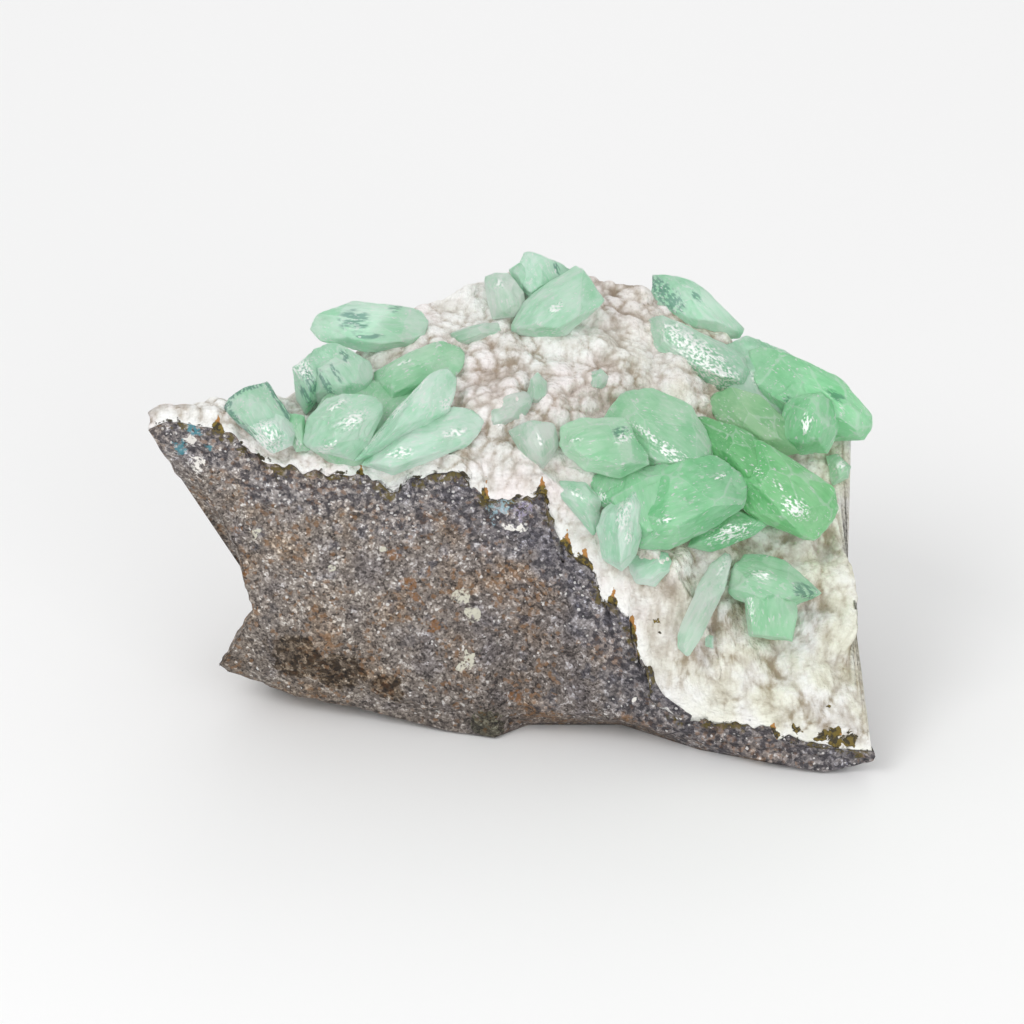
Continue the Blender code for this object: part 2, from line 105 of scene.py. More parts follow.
# The rails in their order round the block: (rail, points from it up to the next rail).
BLOCK_LOOP = [(CONTACT, 22), (FACE_UPPER, 30), (FACE_MIDDLE, 30), (RIDGE, 18), (UNDERCUT, 8),
              (FRONT_FOOT, 6), (BASE_FRONT, 14), (BASE_BACK, 8), (BACK_FOOT, 22), (BACK_MIDDLE, 22),
              (BACK_UPPER, 14)]
SEAT_LOOP = [(BACK_EDGE, 3), (UNDER_HIGH, 3), (UNDER_LOW, 3)]  # the wall that the crust grew on
# Lumps of the break: (width in mm, height in mm, seed). The first two are the solid's own.
BLOCK_LUMPS = [(13.0, 1.1, 3), (6.5, 0.55, 4), (3.0, 0.34, 5), (1.5, 0.26, 6), (0.8, 0.16, 8)]
# Filled bubbles and small hollows of the face: (x, y, z, radius, height), mm.
BLOCK_KNOBS = [(-57, -12.8, 53, 3.2, -1.3), (-9, -20.2, 28.2, 1.5, 0.6), (-7, -20.9, 24.8, 1.3, 0.6),
               (-7.8, -22.2, 16.8, 1.6, 0.4), (-17.6, -20.6, 8.3, 3.0, 0.9), (0.9, -19.5, 42, 2.0, 0.5),
               (-32.5, -17.4, 33.5, 2.2, -0.5), (-46.5, -13.6, 38.1, 2.2, 0.4),
               (-46.8, -14, 27.7, 2.0, -0.6), (-12.7, -21.9, 13.4, 1.6, -0.5)]


def rail_points(rail, shares):
    """Points of a rail at the given shares of its reach along X, straight between its corners.
    The broken edge of the crust also wanders up and down."""
    jag = CONTACT_JAG if rail is CONTACT else 0
    rail = np.array(rail, float)
    x = rail[0, 0] + shares * (rail[-1, 0] - rail[0, 0])
    points = np.stack([np.interp(x, rail[:, 0], rail[:, axis]) for axis in range(3)], axis=-1)
    if jag:
        run = np.hypot(np.gradient(points[:, 0]), np.gradient(points[:, 2]))
        walk = np.cumsum(run)[:, None] * RIGHT
        bite = lumps(walk, 2.4, 71) + 0.6 * lumps(walk, 1.1, 72)
        steep = np.minimum(run / np.gradient(x), 3)
        points[:, 2] += jag * bite * steep * np.clip(8 * np.minimum(shares, 1 - shares), 0, 1)
    return points


def loft(loop, shares, closing_rail):
    """Point (station, step) lies on the straight line from one rail to the next at that station."""
    rails = [rail_points(rail, shares)[:, None] for rail, _ in loop + [(closing_rail, 0)]]
    bands = []
    for (_, steps), near, far in zip(loop, rails, rails[1:]):
        part = np.linspace(0, 1, steps, endpoint=False)[None, :, None]
        bands.append(near * (1 - part) + far * part)
    return np.concatenate(bands, axis=1)


def unit(vectors):
    """Each vector over its own length."""
    return vectors / np.maximum(np.linalg.norm(vectors, axis=-1, keepdims=True), 1e-9)


def skin_normal(grid):
    """Unit normals: along a row crossed with across it, on a grid that is closed across its rows.
    They point into the block, whose rails run round it forwards, and out of the crust."""
    across = np.roll(grid, -1, axis=1) - np.roll(grid, 1, axis=1)
    return unit(np.cross(np.gradient(grid, axis=0), across))


def with_ends(grid, middles, rings):
    """The grid with rings added at both ends: rim plus (middle - rim) times a share from 0 to 1."""
    shares = np.linspace(0, 1, rings + 1, endpoint=False)[1:, None, None]
    left, right = (np.array(middle)[None, None] for middle in middles)
    return np.concatenate([(grid[:1] + (left - grid[:1]) * shares)[::-1], grid,
                           grid[-1:] + (right - grid[-1:]) * shares])


def lattice_value(cell, seed):
    """A repeatable number from -1 to 1 for each whole-number cell: the fraction of a large sine."""
    mixed = cell[..., 0] * 127.1 + cell[..., 1] * 311.7 + cell[..., 2] * 74.7 + seed * 19.3
    return 2 * np.modf(np.abs(np.sin(mixed) * 43758.5453))[0] - 1


def cell_steps(steps):
    """Every step (x, y, z) whose three parts are each one of steps."""
    return np.stack(np.meshgrid(steps, steps, steps), axis=-1).reshape(-1, 3)


def lumps(points, width, seed):
    """Value noise: lattice values every width mm, eased between the eight corners of a cell."""
    cell = np.floor(points / width)
    part = points / width - cell
    part = part * part * (3 - 2 * part)
    return sum(lattice_value(cell + step, seed) * np.prod(np.where(step, part, 1 - part), axis=-1)
               for step in cell_steps([0, 1]))


def line_distance(points, line):
    """Distance in mm from each point to the nearest place on a broken line."""
    line = np.array(line, float)
    nearest = np.full(points.shape[:-1], np.inf)
    for start, end in zip(line[:-1], line[1:]):
        along = np.clip((points - start) @ (end - start) / ((end - start) @ (end - start)), 0, 1)
        away = np.linalg.norm(points - start - along[..., None] * (end - start), axis=-1)
        nearest = np.minimum(nearest, away)
    return nearest


def closed_piece(name, grid, marks):
    """A mesh of one quad a cell, closed across its rows, with a fan at each end, kept inside
    the CAD box; marks are numbers for each point, kept as attributes."""
    rows, columns = grid.shape[:2]
    here = np.arange((rows - 1) * columns).reshape(rows - 1, columns)
    side = np.roll(here, -1, axis=1)
    quads = np.stack([here, here + columns, side + columns, side], axis=-1).reshape(-1, 4)
    left, right = rows * columns, rows * columns + 1
    rim = here[0]
    last = here[-1] + columns
    fans = np.concatenate([np.stack([np.full(columns, left), rim, np.roll(rim, -1)], axis=-1),
                           np.stack([np.full(columns, right), np.roll(last, -1), last], axis=-1)])
    middles = [grid[:1].mean(axis=1), grid[-1:].mean(axis=1)]
    points = np.concatenate([grid.reshape(-1, 3), *middles]) * MM
    points = np.clip(points, np.array(cad_box[0]), np.array(cad_box[1]))
    mesh = bpy.data.meshes.new(name)
    mesh.from_pydata(points.tolist(), [], quads.tolist() + fans.tolist())
    for mark, values in marks.items():
        values = np.concatenate([values.reshape(-1), [values[0].mean(), values[-1].mean()]])
        attribute = mesh.attributes.new(mark, "FLOAT", "POINT")
        attribute.data.foreach_set("value", values.astype(np.float32))
    a, b, c, d = (points[quads[:, k]] for k in range(4))
    if np.sum((a + b + c + d) * np.cross(c - a, d - b)) < 0:  # 24 times the volume inside
        mesh.flip_normals()
    mesh.shade_smooth()
    piece = bpy.data.objects.new(name, mesh)
    bpy.context.scene.collection.objects.link(piece)
    return piece


def knobs(points, places):
    """Round rises and hollows: height times the bell curve of the distance over the radius."""
    return sum(height * np.exp(-np.sum((points - np.array([x, y, z])) ** 2, axis=-1) / radius ** 2)
               for x, y, z, radius, height in places)


block_shares = np.linspace(0, 1, BLOCK_STATIONS)
block_outside = loft(BLOCK_LOOP, block_shares, BACK_EDGE)
block_grid = np.concatenate([block_outside, loft(SEAT_LOOP, block_shares, CONTACT)], axis=1)
block_grid = with_ends(block_grid, BLOCK_ENDS, END_RINGS)
block_free = np.ones(block_grid.shape[:2])
block_free[:, block_outside.shape[1]:] = 0
block_free[:, 0] = 0
block_free *= np.clip(block_grid[..., 2] / 4, 0, 1)
block_relief = sum(height * lumps(block_grid, width, seed) for width, height, seed in BLOCK_LUMPS)
block_relief -= knobs(block_grid, BLOCK_KNOBS)
block_contact = line_distance(block_grid, CONTACT)
block_grid = block_grid + skin_normal(block_grid) * (block_relief * block_free)[..., None]
basalt = closed_piece("basalt_block", block_grid, {"contact": block_contact})


class Wire:
    """One output in a material's nodes. + - * / with it add Math nodes."""

    def __init__(self, tree, socket=None):
        self.tree = tree
        self.socket = socket

    def add(self, kind, settings=(), values=(), out=0):
        """An output of a new node, from its settings and a value or a wire for each socket."""
        node = self.tree.nodes.new(kind)
        for name, value in dict(settings).items():
            if name == "stops":
                while len(node.color_ramp.elements) < len(value):
                    node.color_ramp.elements.new(1)
                for element, (place, colour) in zip(node.color_ramp.elements, value):
                    element.position = place
                    element.color = (*colour, 1)
            else:
                setattr(node, name, value)
        for name, value in dict(values).items():
            if isinstance(value, Wire):
                self.tree.links.new(value.socket, node.inputs[name])
            else:
                node.inputs[name].default_value = value
        return Wire(self.tree, node.outputs[out])

    def maths(self, operation, *terms):
        return self.add("ShaderNodeMath", {"operation": operation}, dict(enumerate(terms)))

    def __add__(self, other):
        return self.maths("ADD", self, other)

    def __sub__(self, other):
        return self.maths("SUBTRACT", self, other)

    def __rsub__(self, other):
        return self.maths("SUBTRACT", other, self)

    def __mul__(self, other):
        return self.maths("MULTIPLY", self, other)

    def __truediv__(self, other):
        return self.maths("DIVIDE", self, other)

    __radd__ = __add__
    __rmul__ = __mul__

    def highest(self, other):
        return self.maths("MAXIMUM", self, other)

    def fade(self, low, high):
        """0 at low, 1 at high and eased between; low may be the larger."""
        return self.add("ShaderNodeMapRange", {"interpolation_type": "SMOOTHSTEP"},
                        {0: self, 1: low, 2: high, 3: 0.0, 4: 1.0})

    def over(self, share, colour, blend="MIX"):
        """This colour with another one laid over it by a share."""
        return self.add("ShaderNodeMix", {"data_type": "RGBA", "blend_type": blend},
                        {0: share, 6: self, 7: (*colour, 1)}, out=2)

    def tinted(self, share, colour):
        """This colour multiplied by another one, by a share."""
        return self.over(share, colour, "MULTIPLY")

    def ramp(self, stops):
        """The colour that (place, colour) stops give for this number."""
        return self.add("ShaderNodeValToRGB", {"stops": stops}, {0: self})

    def shifted(self, vector):
        return self.add("ShaderNodeVectorMath", {"operation": "ADD"}, {0: self, 1: vector})

    def scaled(self, vector):
        return self.add("ShaderNodeVectorMath", {"operation": "MULTIPLY"}, {0: self, 1: vector})

    def drawn(self, share):
        """This position squeezed along its third axis, which draws noise on it out that way."""
        return self.scaled((1.0, 1.0, share))

    def noise(self, width, detail, out=0):
        """Cloudy noise over this position, with blobs of about width mm."""
        values = {"Vector": self, "Scale": 1 / (width * MM), "Detail": detail}
        return self.add("ShaderNodeTexNoise", {}, values, out=out)

    def swing(self, width, detail, reach):
        """The same noise about 0, up to half of reach either way."""
        return (self.noise(width, detail) - 0.5) * reach

    def stirred(self, width, reach):
        """This position moved about by up to half of reach mm each way."""
        stir = self.noise(width, 3.0, out=1).shifted((-0.5, -0.5, -0.5))
        return self.shifted(stir.scaled((reach * MM, reach * MM, reach * MM)))

    def cells(self, width, out=0):
        """How far it is to the middle of a random cell of about width mm."""
        values = {"Vector": self, "Scale": 1 / (width * MM)}
        return self.add("ShaderNodeTexVoronoi", {}, values, out=out)

    def grains(self, width):
        """A random number for each of these cells: the red of its colour."""
        return self.add("ShaderNodeSeparateColor", {}, {0: self.cells(width, out=1)})

    def spots(self, places, ragged=1.0, width=1.1):
        """1 in round places (x, y, z, radius), 0 outside, with an edge broken up by noise."""
        made = None
        for *place, radius in places:
            away = self.add("ShaderNodeVectorMath", {"operation": "DISTANCE"},
                            {0: self, 1: tuple(c * MM for c in place)}, out=1)
            one = away.fade(radius * 1.35 * MM, 0.0)
            made = one if made is None else made.highest(one)
        return (made + self.swing(width, 5.0, 1.6 * ragged)).fade(0.42, 0.58) * made.fade(0.0, 0.12)

    def mark(self, name):
        """An attribute of the piece's own points, as a number."""
        return self.add("ShaderNodeAttribute", {"attribute_name": name}, out=2)


def finish(name, **plain):
    """A Principled material, its shader with plain values on some sockets, a first wire, and the
    wire of the position on the piece."""
    material = bpy.data.materials.new(name)
    material.use_nodes = True
    shader = material.node_tree.nodes["Principled BSDF"]
    for socket, value in plain.items():
        shader.inputs[socket.replace("_", " ")].default_value = value
    first = Wire(material.node_tree)
    return material, shader, first, first.add("ShaderNodeTexCoord", out=3)


def connect(shader, wire, colour, roughness, height, relief):
    """Colour and roughness into the shader, and height, in mm, as a bump into its normal."""
    links = wire.tree.links
    links.new(colour.socket, shader.inputs["Base Color"])
    links.new(roughness.socket, shader.inputs["Roughness"])
    bump = wire.add("ShaderNodeBump", {}, {"Strength": relief, "Distance": MM, "Height": height})
    links.new(bump.socket, shader.inputs["Normal"])


basalt_material, basalt_shader, rock, place = finish("basalt", Specular_IOR_Level=0.35)
ragged = place.stirred(2.6, 3.0)
grain = place.grains(0.62)
fine_grain = place.grains(0.33)
blotch = place.noise(2.4, 5.0)
speckle = (grain * 0.42 + fine_grain * 0.38 + blotch.fade(0.3, 0.7) * 0.20).ramp([
    (0.0, (0.022, 0.018, 0.017)), (0.22, (0.070, 0.058, 0.052)), (0.45, (0.195, 0.165, 0.145)),
    (0.66, (0.33, 0.29, 0.255)), (0.78, (0.50, 0.45, 0.41)), (0.90, (0.80, 0.77, 0.73))])
to_right = rock.add("ShaderNodeSeparateXYZ", {}, {0: place}).fade(-0.032, 0.004)
low_down = rock.add("ShaderNodeSeparateXYZ", {}, {0: place}, out=2).fade(0.030, 0.010)
brown_clouds = place.noise(8.0, 5.0)
brown_grains = (place.grains(0.7) + brown_clouds * 0.9).fade(1.28, 1.42)
contact = rock.mark("contact")
charcoal = (contact + place.swing(5.0, 4.0, 18.0)).fade(10.0, 6.0)
charcoal = charcoal.highest(place.noise(4.2, 4.0).fade(0.58, 0.66) * contact.fade(40.0, 14.0))
mottle = place.noise(1.2, 5.0).fade(0.53, 0.45)
grain_edge = (place.cells(0.8) + place.swing(0.6, 3.0, 1.1)).fade(0.36, 0.24)
white_grains = place.grains(0.8) + charcoal * 0.10 + place.swing(6.0, 2.0, 0.3)
white_grains = white_grains.fade(0.93, 0.97) * grain_edge
olive_rim = (contact + place.swing(1.3, 4.0, 7.0)).fade(1.3, 0.6)
olive_rim = olive_rim * place.noise(4.0, 2.0).fade(0.42, 0.55) * 0.85
olive_rim = olive_rim * place.noise(0.7, 2.0).fade(0.36, 0.5)
basalt_colour = (
    speckle.tinted(to_right, (0.80, 0.80, 0.84))
    .tinted(low_down, (0.86, 0.85, 0.83))
    .tinted(brown_clouds.fade(0.48, 0.68) * 0.8, (1.0, 0.86, 0.70))
    .tinted(brown_clouds.fade(0.46, 0.32), (0.88, 0.9, 0.98))
    .over(brown_grains * 0.55, (0.25, 0.125, 0.05))
    .over(charcoal * 0.15, (0.34, 0.335, 0.345))
    .tinted(charcoal, (1.12, 1.15, 1.22))
    .tinted(charcoal * mottle * 0.9, (0.32, 0.32, 0.36))
    .over(white_grains * 0.75, (0.80, 0.78, 0.76))
    .over(olive_rim, (0.13, 0.10, 0.025)))
# Stains and fillings of the break: what they are, places as (x, y, z, radius) in mm, then the
# grain of their broken cover as (width in mm, detail, fades from, to), how strong, and colour.
BASALT_STAINS = [
    ("rust", [(-18.7, -18.4, 30.1, 1.8), (-17.1, -19, 27.8, 1.3), (-21.4, -17.4, 35.7, 1.6),
              (-15.3, -18.5, 32.4, 1.2), (-14.4, -20.4, 22.5, 1.9), (-49.2, -12.8, 38.4, 1.5),
              (-48, -13.6, 29.8, 1.2), (0.5, -21.9, 8.9, 1.8), (-44, -14, 36.5, 1.0)],
     (0.8, 3.0, 0.40, 0.56), 0.7, (0.24, 0.10, 0.025)),
    ("filled bubbles", [(-8.9, -20.2, 28.6, 2.1), (-7.2, -20.9, 25.2, 2), (-7.8, -22.2, 17, 1.8),
                        (-9.4, -22.4, 15, 1.3), (-23, -17.3, 36.5, 0.7), (-30.9, -18.4, 20, 0.7),
                        (-46.2, -13.6, 38, 1.9), (-32.4, -17.5, 33.2, 1)],
     (0.7, 2.0, 0.34, 0.5), 1, (0.62, 0.60, 0.50)),
    ("white vugs", [(-56.8, -12.6, 51.2, 2.8), (-57.6, -12.8, 55.8, 2.1), (-0.6, -19.5, 42.2, 1.5),
                    (2.2, -19.5, 42.1, 1.6), (15.5, -24.5, 19.7, 0.9), (22, -26, 10.4, 0.9)],
     (0.9, 3.0, 0.34, 0.48), 1, (0.88, 0.85, 0.80)),
    ("teal skin", [(-59.2, -12.5, 54.2, 2.3), (-56.6, -13.0, 58.4, 2.0), (-54.4, -13.0, 54.6, 1.0)],
     (0.8, 2.0, 0.38, 0.55), 0.85, (0.07, 0.27, 0.33)),
    ("sky blue skin", [(-1.2, -19.3, 46.6, 2.1), (-3.4, -19.3, 45.4, 2), (-3, -19.3, 42.9, 0.9)],
     (0.7, 3.0, 0.42, 0.6), 0.8, (0.40, 0.58, 0.66)),
    ("lavender skin", [(2.0, -19.5, 45.4, 2.4)], (0.6, 3.0, 0.44, 0.6), 0.75, (0.38, 0.34, 0.48)),
]
for _, places, (width, detail, low, high), strength, stain_colour in BASALT_STAINS:
    cover = ragged.spots(places) * place.noise(width, detail).fade(low, high)
    basalt_colour = basalt_colour.over(cover * strength, stain_colour)
# Browner and darker on the face below the ridge, which turns down: the brown is the rock's own, the
# darkening is painted shade.
under_ridge_brown_and_shade = ragged.spots([(-39, -14.8, 14, 8.0), (-31, -16.5, 11.5, 7.0), (-22, -18.8, 9, 5.0)],
                     0.7, 3.0)
# Painted shade: the foot lump under the middle of the front face is darkened to a greenish grey.
painted_foot_shade = ragged.spots([(-4.5, -22.8, 2.5, 5.0)])
basalt_colour = (
    basalt_colour.tinted(under_ridge_brown_and_shade * 0.75, (0.62, 0.52, 0.38))
    .tinted(under_ridge_brown_and_shade * place.noise(1.3, 5.0).fade(0.52, 0.46), (0.30, 0.26, 0.22))
    .tinted(painted_foot_shade * 0.9, (0.46, 0.50, 0.38)))
basalt_roughness = grain * 0.25 + 0.62
basalt_height = grain * 0.4 + fine_grain * 0.2 + place.noise(1.1, 3.0) * 0.9
connect(basalt_shader, rock, basalt_colour, basalt_roughness, basalt_height, 0.7)
basalt.data.materials.append(basalt_material)
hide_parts("basalt_matrix")
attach(basalt, "root")

# ------------------------------------------------------------------ the mordenite crust
# Mordenite is a white zeolite. It lined the cavity wall as a felt of tiny needles that
# closed up to a hard, sugary crust of rounded nodules. The hammer left its edge as a
# broken white section along the front, flush with the basalt towards the right.
CRUST_STATIONS = 420
SHOULDER = [(-64.8, -11.5, 60.5), (-61.5, -12, 62.8), (-52.5, -12.5, 62.5), (-42, -13, 55.5),
            (-27, -14, 54.5), (-21.5, -15, 51), (-13, -16, 55.5), (-5, -17.3, 51), (5.5, -19, 53),
            (8, -20, 50), (12, -20.5, 46), (20, -23.5, 40), (29, -26, 36), (33, -27.5, 29),
            (37.5, -30.5, 16), (44, -32.5, 14.5), (55, -34.5, 11), (64.3, -34.8, 9)]
SLOPE_FOOT = [(-64.7, -11, 60.5), (-52.5, -11.5, 62.3), (-42, -11.5, 57), (-20, -12, 56.5), (0, -13.5, 56),
              (8, -16, 53.5), (20, -19, 46), (33, -23.5, 34), (44, -28.5, 20.5), (60.5, -26.5, 17)]
SLOPE_LOW = [(-64.6, -10.5, 60.5), (-52, -10, 62), (-40, -8, 57.5), (-20, -8, 58.5), (0, -8, 60),
             (20, -13, 52.5), (36, -19, 39), (50, -22, 28), (62.3, -18.5, 27)]
SLOPE_HIGH = [(-63.6, -9, 60), (-50, -6, 59.5), (-36, -1, 60), (-20, 2, 65.5), (0, 6, 68), (20, 6, 64),
              (36, 0, 55), (48, -6, 45), (57.3, -10.5, 36.5)]
CREST = [(-63, -7.5, 59.5), (-59.5, -6, 59.5), (-52.5, -4, 57.8), (-40, 2, 57), (-30, 7, 62),
         (-20, 12, 69.4), (-9.5, 15.5, 72), (-0.5, 19.5, 73), (2, 20.5, 73.5), (14, 22, 71), (24, 22, 68.6),
         (33, 20, 63.5), (43, 16, 58.5), (52, 10, 53), (60, 5, 49)]
CRUST_LOOP = [(CONTACT, 18), (SHOULDER, 12), (SLOPE_FOOT, 16), (SLOPE_LOW, 54), (SLOPE_HIGH, 52),
              (CREST, 8)]
CRUST_NORMAL = np.array([0.0, -0.571, 0.821])  # square to the growth plane
CRUST_LIFT = 0.3  # mm clear of the basalt
# Widths and heights of the crust's lumps, in mm: nodules, big swells, granules and sugar.
NODULE = 3.3
NODULE_HEIGHT = 1.15
SWELL = 7.0
SWELL_HEIGHT = 1.7
GRANULE = 1.55
GRANULE_HEIGHT = 0.55
SUGAR = 0.8
SUGAR_HEIGHT = 0.16
ROLL_HEIGHT = 1.3  # mm, of the wide rolls under them
DEEPEST = -0.9  # mm, the nodules' hollows go no deeper
SWOLLEN_FROM, SWOLLEN_TO = 8, 28  # x in mm, between them the crust swells up into big lumps
EDGE_POINTS = 30  # points up the broken edge, which is flatter than the grown face
EDGE_RISE = 9  # points over which the relief sets in
EDGE_SETBACK = 1.2  # mm, the broken edge lies back from the nodules
END_STATIONS = 12  # at the right end the relief turns outwards, by END_TURN
END_TURN = 1.2


def nodules(points, width, seed):
    """Closest and second closest distance, in widths, to one jittered centre in each cell."""
    cell = np.floor(points / width)
    first = np.full(points.shape[:-1], 9.0)
    second = first.copy()
    for step in cell_steps([-1, 0, 1]):
        corner = cell + step
        chance = np.stack([lattice_value(corner, seed + axis) for axis in range(3)], axis=-1)
        away = np.linalg.norm(points / width - corner - (chance * 0.45 + 0.5), axis=-1)
        second = np.minimum(second, np.maximum(first, away))
        first = np.minimum(first, away)
    return first, second


crust_shares = np.linspace(0, 1, CRUST_STATIONS)
crust_outside = loft(CRUST_LOOP, crust_shares, BACK_EDGE)
crust_seat = loft(SEAT_LOOP, crust_shares, CONTACT)
crust_grid = np.concatenate([crust_outside, crust_seat], axis=1)
crust_free = np.zeros(crust_grid.shape[1])
crust_free[:crust_outside.shape[1]] = 1
crust_free[:EDGE_POINTS] = np.clip(np.arange(EDGE_POINTS) / EDGE_RISE, 0, 1)
crust_free[crust_outside.shape[1] - 4:crust_outside.shape[1]] = (0.8, 0.6, 0.4, 0.2)
crust_warp = np.stack([lumps(crust_grid, 5.0, seed) for seed in (21, 22, 23)], axis=-1) * 1.3
crust_warped = crust_grid + crust_warp
nodule_first, nodule_second = nodules(crust_warped, NODULE, 31)
granule_first, granule_second = nodules(crust_warped, GRANULE, 41)
sugar_first, _ = nodules(crust_grid, SUGAR, 47)
swell_first, swell_second = nodules(crust_warped, SWELL, 51)
swollen = np.clip((crust_grid[..., 0] - SWOLLEN_FROM) / (SWOLLEN_TO - SWOLLEN_FROM), 0, 1)
bunch = np.clip(lumps(crust_grid, 9.0, 48) * 1.3 + 1.0, 0.5, 1.5)  # how much the nodules stand out
crust_relief = NODULE_HEIGHT * bunch * (0.75 - 1.1 * np.minimum(nodule_first, 0.85) ** 2)
crust_relief += GRANULE_HEIGHT * (0.6 - np.minimum(granule_first, 0.9) ** 2)
crust_relief += SUGAR_HEIGHT * (0.6 - sugar_first ** 2)
crust_roll = np.abs(lumps(crust_grid, 7.5, 7))  # 0 along winding valleys between wide rolls
crust_relief = np.maximum(crust_relief + ROLL_HEIGHT * (2 * crust_roll - 0.8), DEEPEST)
crust_relief += swollen * SWELL_HEIGHT * (0.45 - np.minimum(swell_first, 0.9) ** 2)


def gap(first, second, width):
    """1 halfway between two neighbours, 0 where one is closer than the other by width or more."""
    return np.clip(1 - (second - first) / width, 0, 1)


def bowl(first):
    """0 on top of a lump and 1 at its foot: the square of the distance to its centre."""
    return np.clip(first, 0, 1) ** 2


# How far a place lies down between the lumps: it stays in shade and gathers dust. The crust's colour is
# painted darker there as painted shade.
crust_hollow = bunch * (gap(nodule_first, nodule_second, 0.4) * 0.24 + bowl(nodule_first) * 0.12)
crust_hollow += bowl(granule_first) * 0.16 + gap(granule_first, granule_second, 0.35) * 0.14
crust_hollow += sugar_first ** 2 * 0.08 + 0.35 * np.clip(0.22 - crust_roll, 0, 1)
crust_hollow += swollen * (0.20 * gap(swell_first, swell_second, 0.22) + 0.10 * bowl(swell_first))
crust_contact = line_distance(crust_grid, CONTACT)
crust_out = skin_normal(crust_grid)
front = np.clip((-crust_out[..., 1] - 0.6) / 0.3, 0, 1)
crust_relief -= EDGE_SETBACK * front * (1 - 0.6 * swollen)
crust_out = crust_out + CRUST_NORMAL
near_end = np.arange(CRUST_STATIONS) / END_STATIONS - CRUST_STATIONS / END_STATIONS + 1
crust_out[..., 0] += np.clip(near_end, 0, 1)[:, None] * END_TURN
crust_push = unit(crust_out) * (crust_relief * crust_free)[..., None]
crust_grid = crust_grid + crust_push + CRUST_NORMAL * CRUST_LIFT
crust_marks = {"contact": crust_contact, "hollow": crust_hollow,
               "grown": np.broadcast_to(crust_free, crust_hollow.shape)}
crust = closed_piece("mordenite_lining", crust_grid, crust_marks)

crust_material, crust_shader, felt, place = finish("mordenite", Specular_IOR_Level=0.3)
ragged = place.stirred(2.2, 2.4)
split = place.add("ShaderNodeSeparateXYZ", {}, {0: place})
to_right = split.fade(0.008, 0.05)
sugar = place.grains(0.42)
hollow = felt.mark("hollow")
grown = felt.mark("grown")
contact = felt.mark("contact")
# Painted shade: the crust's colour runs from white on the lumps to grey-brown down in the hollows between
# them.
shade_depth = hollow * 1.25 + place.swing(0.8, 3.0, 0.35) + (sugar - 0.5) * 0.10
# Browner in patches down the deeper hollows: dust, and painted shade.
dust_and_shade = shade_depth.fade(0.5, 0.8) * place.noise(5.0, 3.0).fade(0.42, 0.6) * grown
crust_colour = (
    (shade_depth * (0.35 + grown * 0.65)).ramp([
        (0.12, (0.95, 0.95, 0.93)), (0.32, (0.88, 0.87, 0.84)), (0.54, (0.71, 0.68, 0.635)),
        (0.90, (0.48, 0.43, 0.37))])
    .tinted(place.noise(4.0, 4.0).fade(0.47, 0.66) * grown * 0.6, (0.82, 0.80, 0.755))
    .tinted(place.noise(11.0, 3.0).fade(0.42, 0.6) * (1 - to_right), (1.0, 0.945, 0.955))
    .tinted(to_right * place.noise(8.0, 3.0).fade(0.34, 0.6), (0.965, 0.97, 0.86))
    .tinted(dust_and_shade * 0.6, (0.64, 0.55, 0.42)))
stain = (contact + place.swing(1.2, 4.0, 4.2)).fade(0.25, 0.0)
stain = stain * place.noise(3.6, 2.0).fade(0.4, 0.52)
wander = place.swing(1.1, 4.0, 2.0)
# Iron-stained roots of the crust that run up into it: (x, reach, half width), mm.
IRON_ROOTS = [(-52.4, 2.2, 0.9), (-27.0, 1.8, 0.7), (-4.6, 2.6, 0.8), (5.3, 2.6, 1.0), (9.9, 2.2, 0.9),
              (13.0, 2.4, 1.3), (18.2, 2.6, 0.8), (21.6, 1.8, 1.1), (47.0, 1.6, 1.0)]
fingers, orange = None, None
for root, reach, half in IRON_ROOTS:
    up = contact / reach
    aside = split - root * MM
    aside = aside.maths("ABSOLUTE", aside) / (half * MM)
    finger = (1.15 - up - aside * (up * 0.5 + 0.7) + wander).fade(0.0, 0.16)
    tip = finger * up.fade(0.42, 0.62)
    fingers = finger if fingers is None else fingers.highest(finger)
    orange = tip if orange is None else orange.highest(tip)
islands = ragged.spots([(52.4, -34, 11.6, 0.9), (51.2, -34.4, 9.6, 1.3), (56.5, -32.3, 12.6, 1.0),
                        (55.4, -35.2, 8.3, 1.7), (57.6, -35.3, 8.6, 1.9), (60.2, -35.4, 7.6, 2.2),
                        (57.8, -35.3, 7.0, 1.8)], 1.1, 0.9)
more_orange = ragged.spots([(54.6, -34.6, 10.2, 0.7), (58.9, -35.0, 8.6, 0.6),
                            (25.6, -27.0, 28.9, 0.7)])
roots = ragged.spots([(13.8, -22.6, 41.0, 0.9), (25.6, -27.0, 26.6, 1.2), (26.0, -27.2, 24.6, 0.8)],
                     1.0, 0.9)
brown_parts = fingers.highest(roots).highest(islands * 0.8) * place.noise(0.9, 3.0).fade(0.44, 0.58)
crust_colour = (
    crust_colour.over(stain.highest(islands).highest(fingers).highest(roots), (0.060, 0.050, 0.030))
    .over(brown_parts, (0.22, 0.16, 0.035))
    .over(orange.highest(more_orange) * 0.8, (0.58, 0.27, 0.08))
    .over(ragged.spots([(16.7, 21.7, 69.9, 0.9)]), (0.14, 0.12, 0.02)))
crust_roughness = sugar * 0.3 + 0.55
crust_height = sugar * 0.35 + place.noise(0.7, 3.0) * 0.9
connect(crust_shader, felt, crust_colour, crust_roughness, crust_height, 0.75)
crust.data.materials.append(crust_material)
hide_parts("mordenite_crust")
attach(crust, "root")

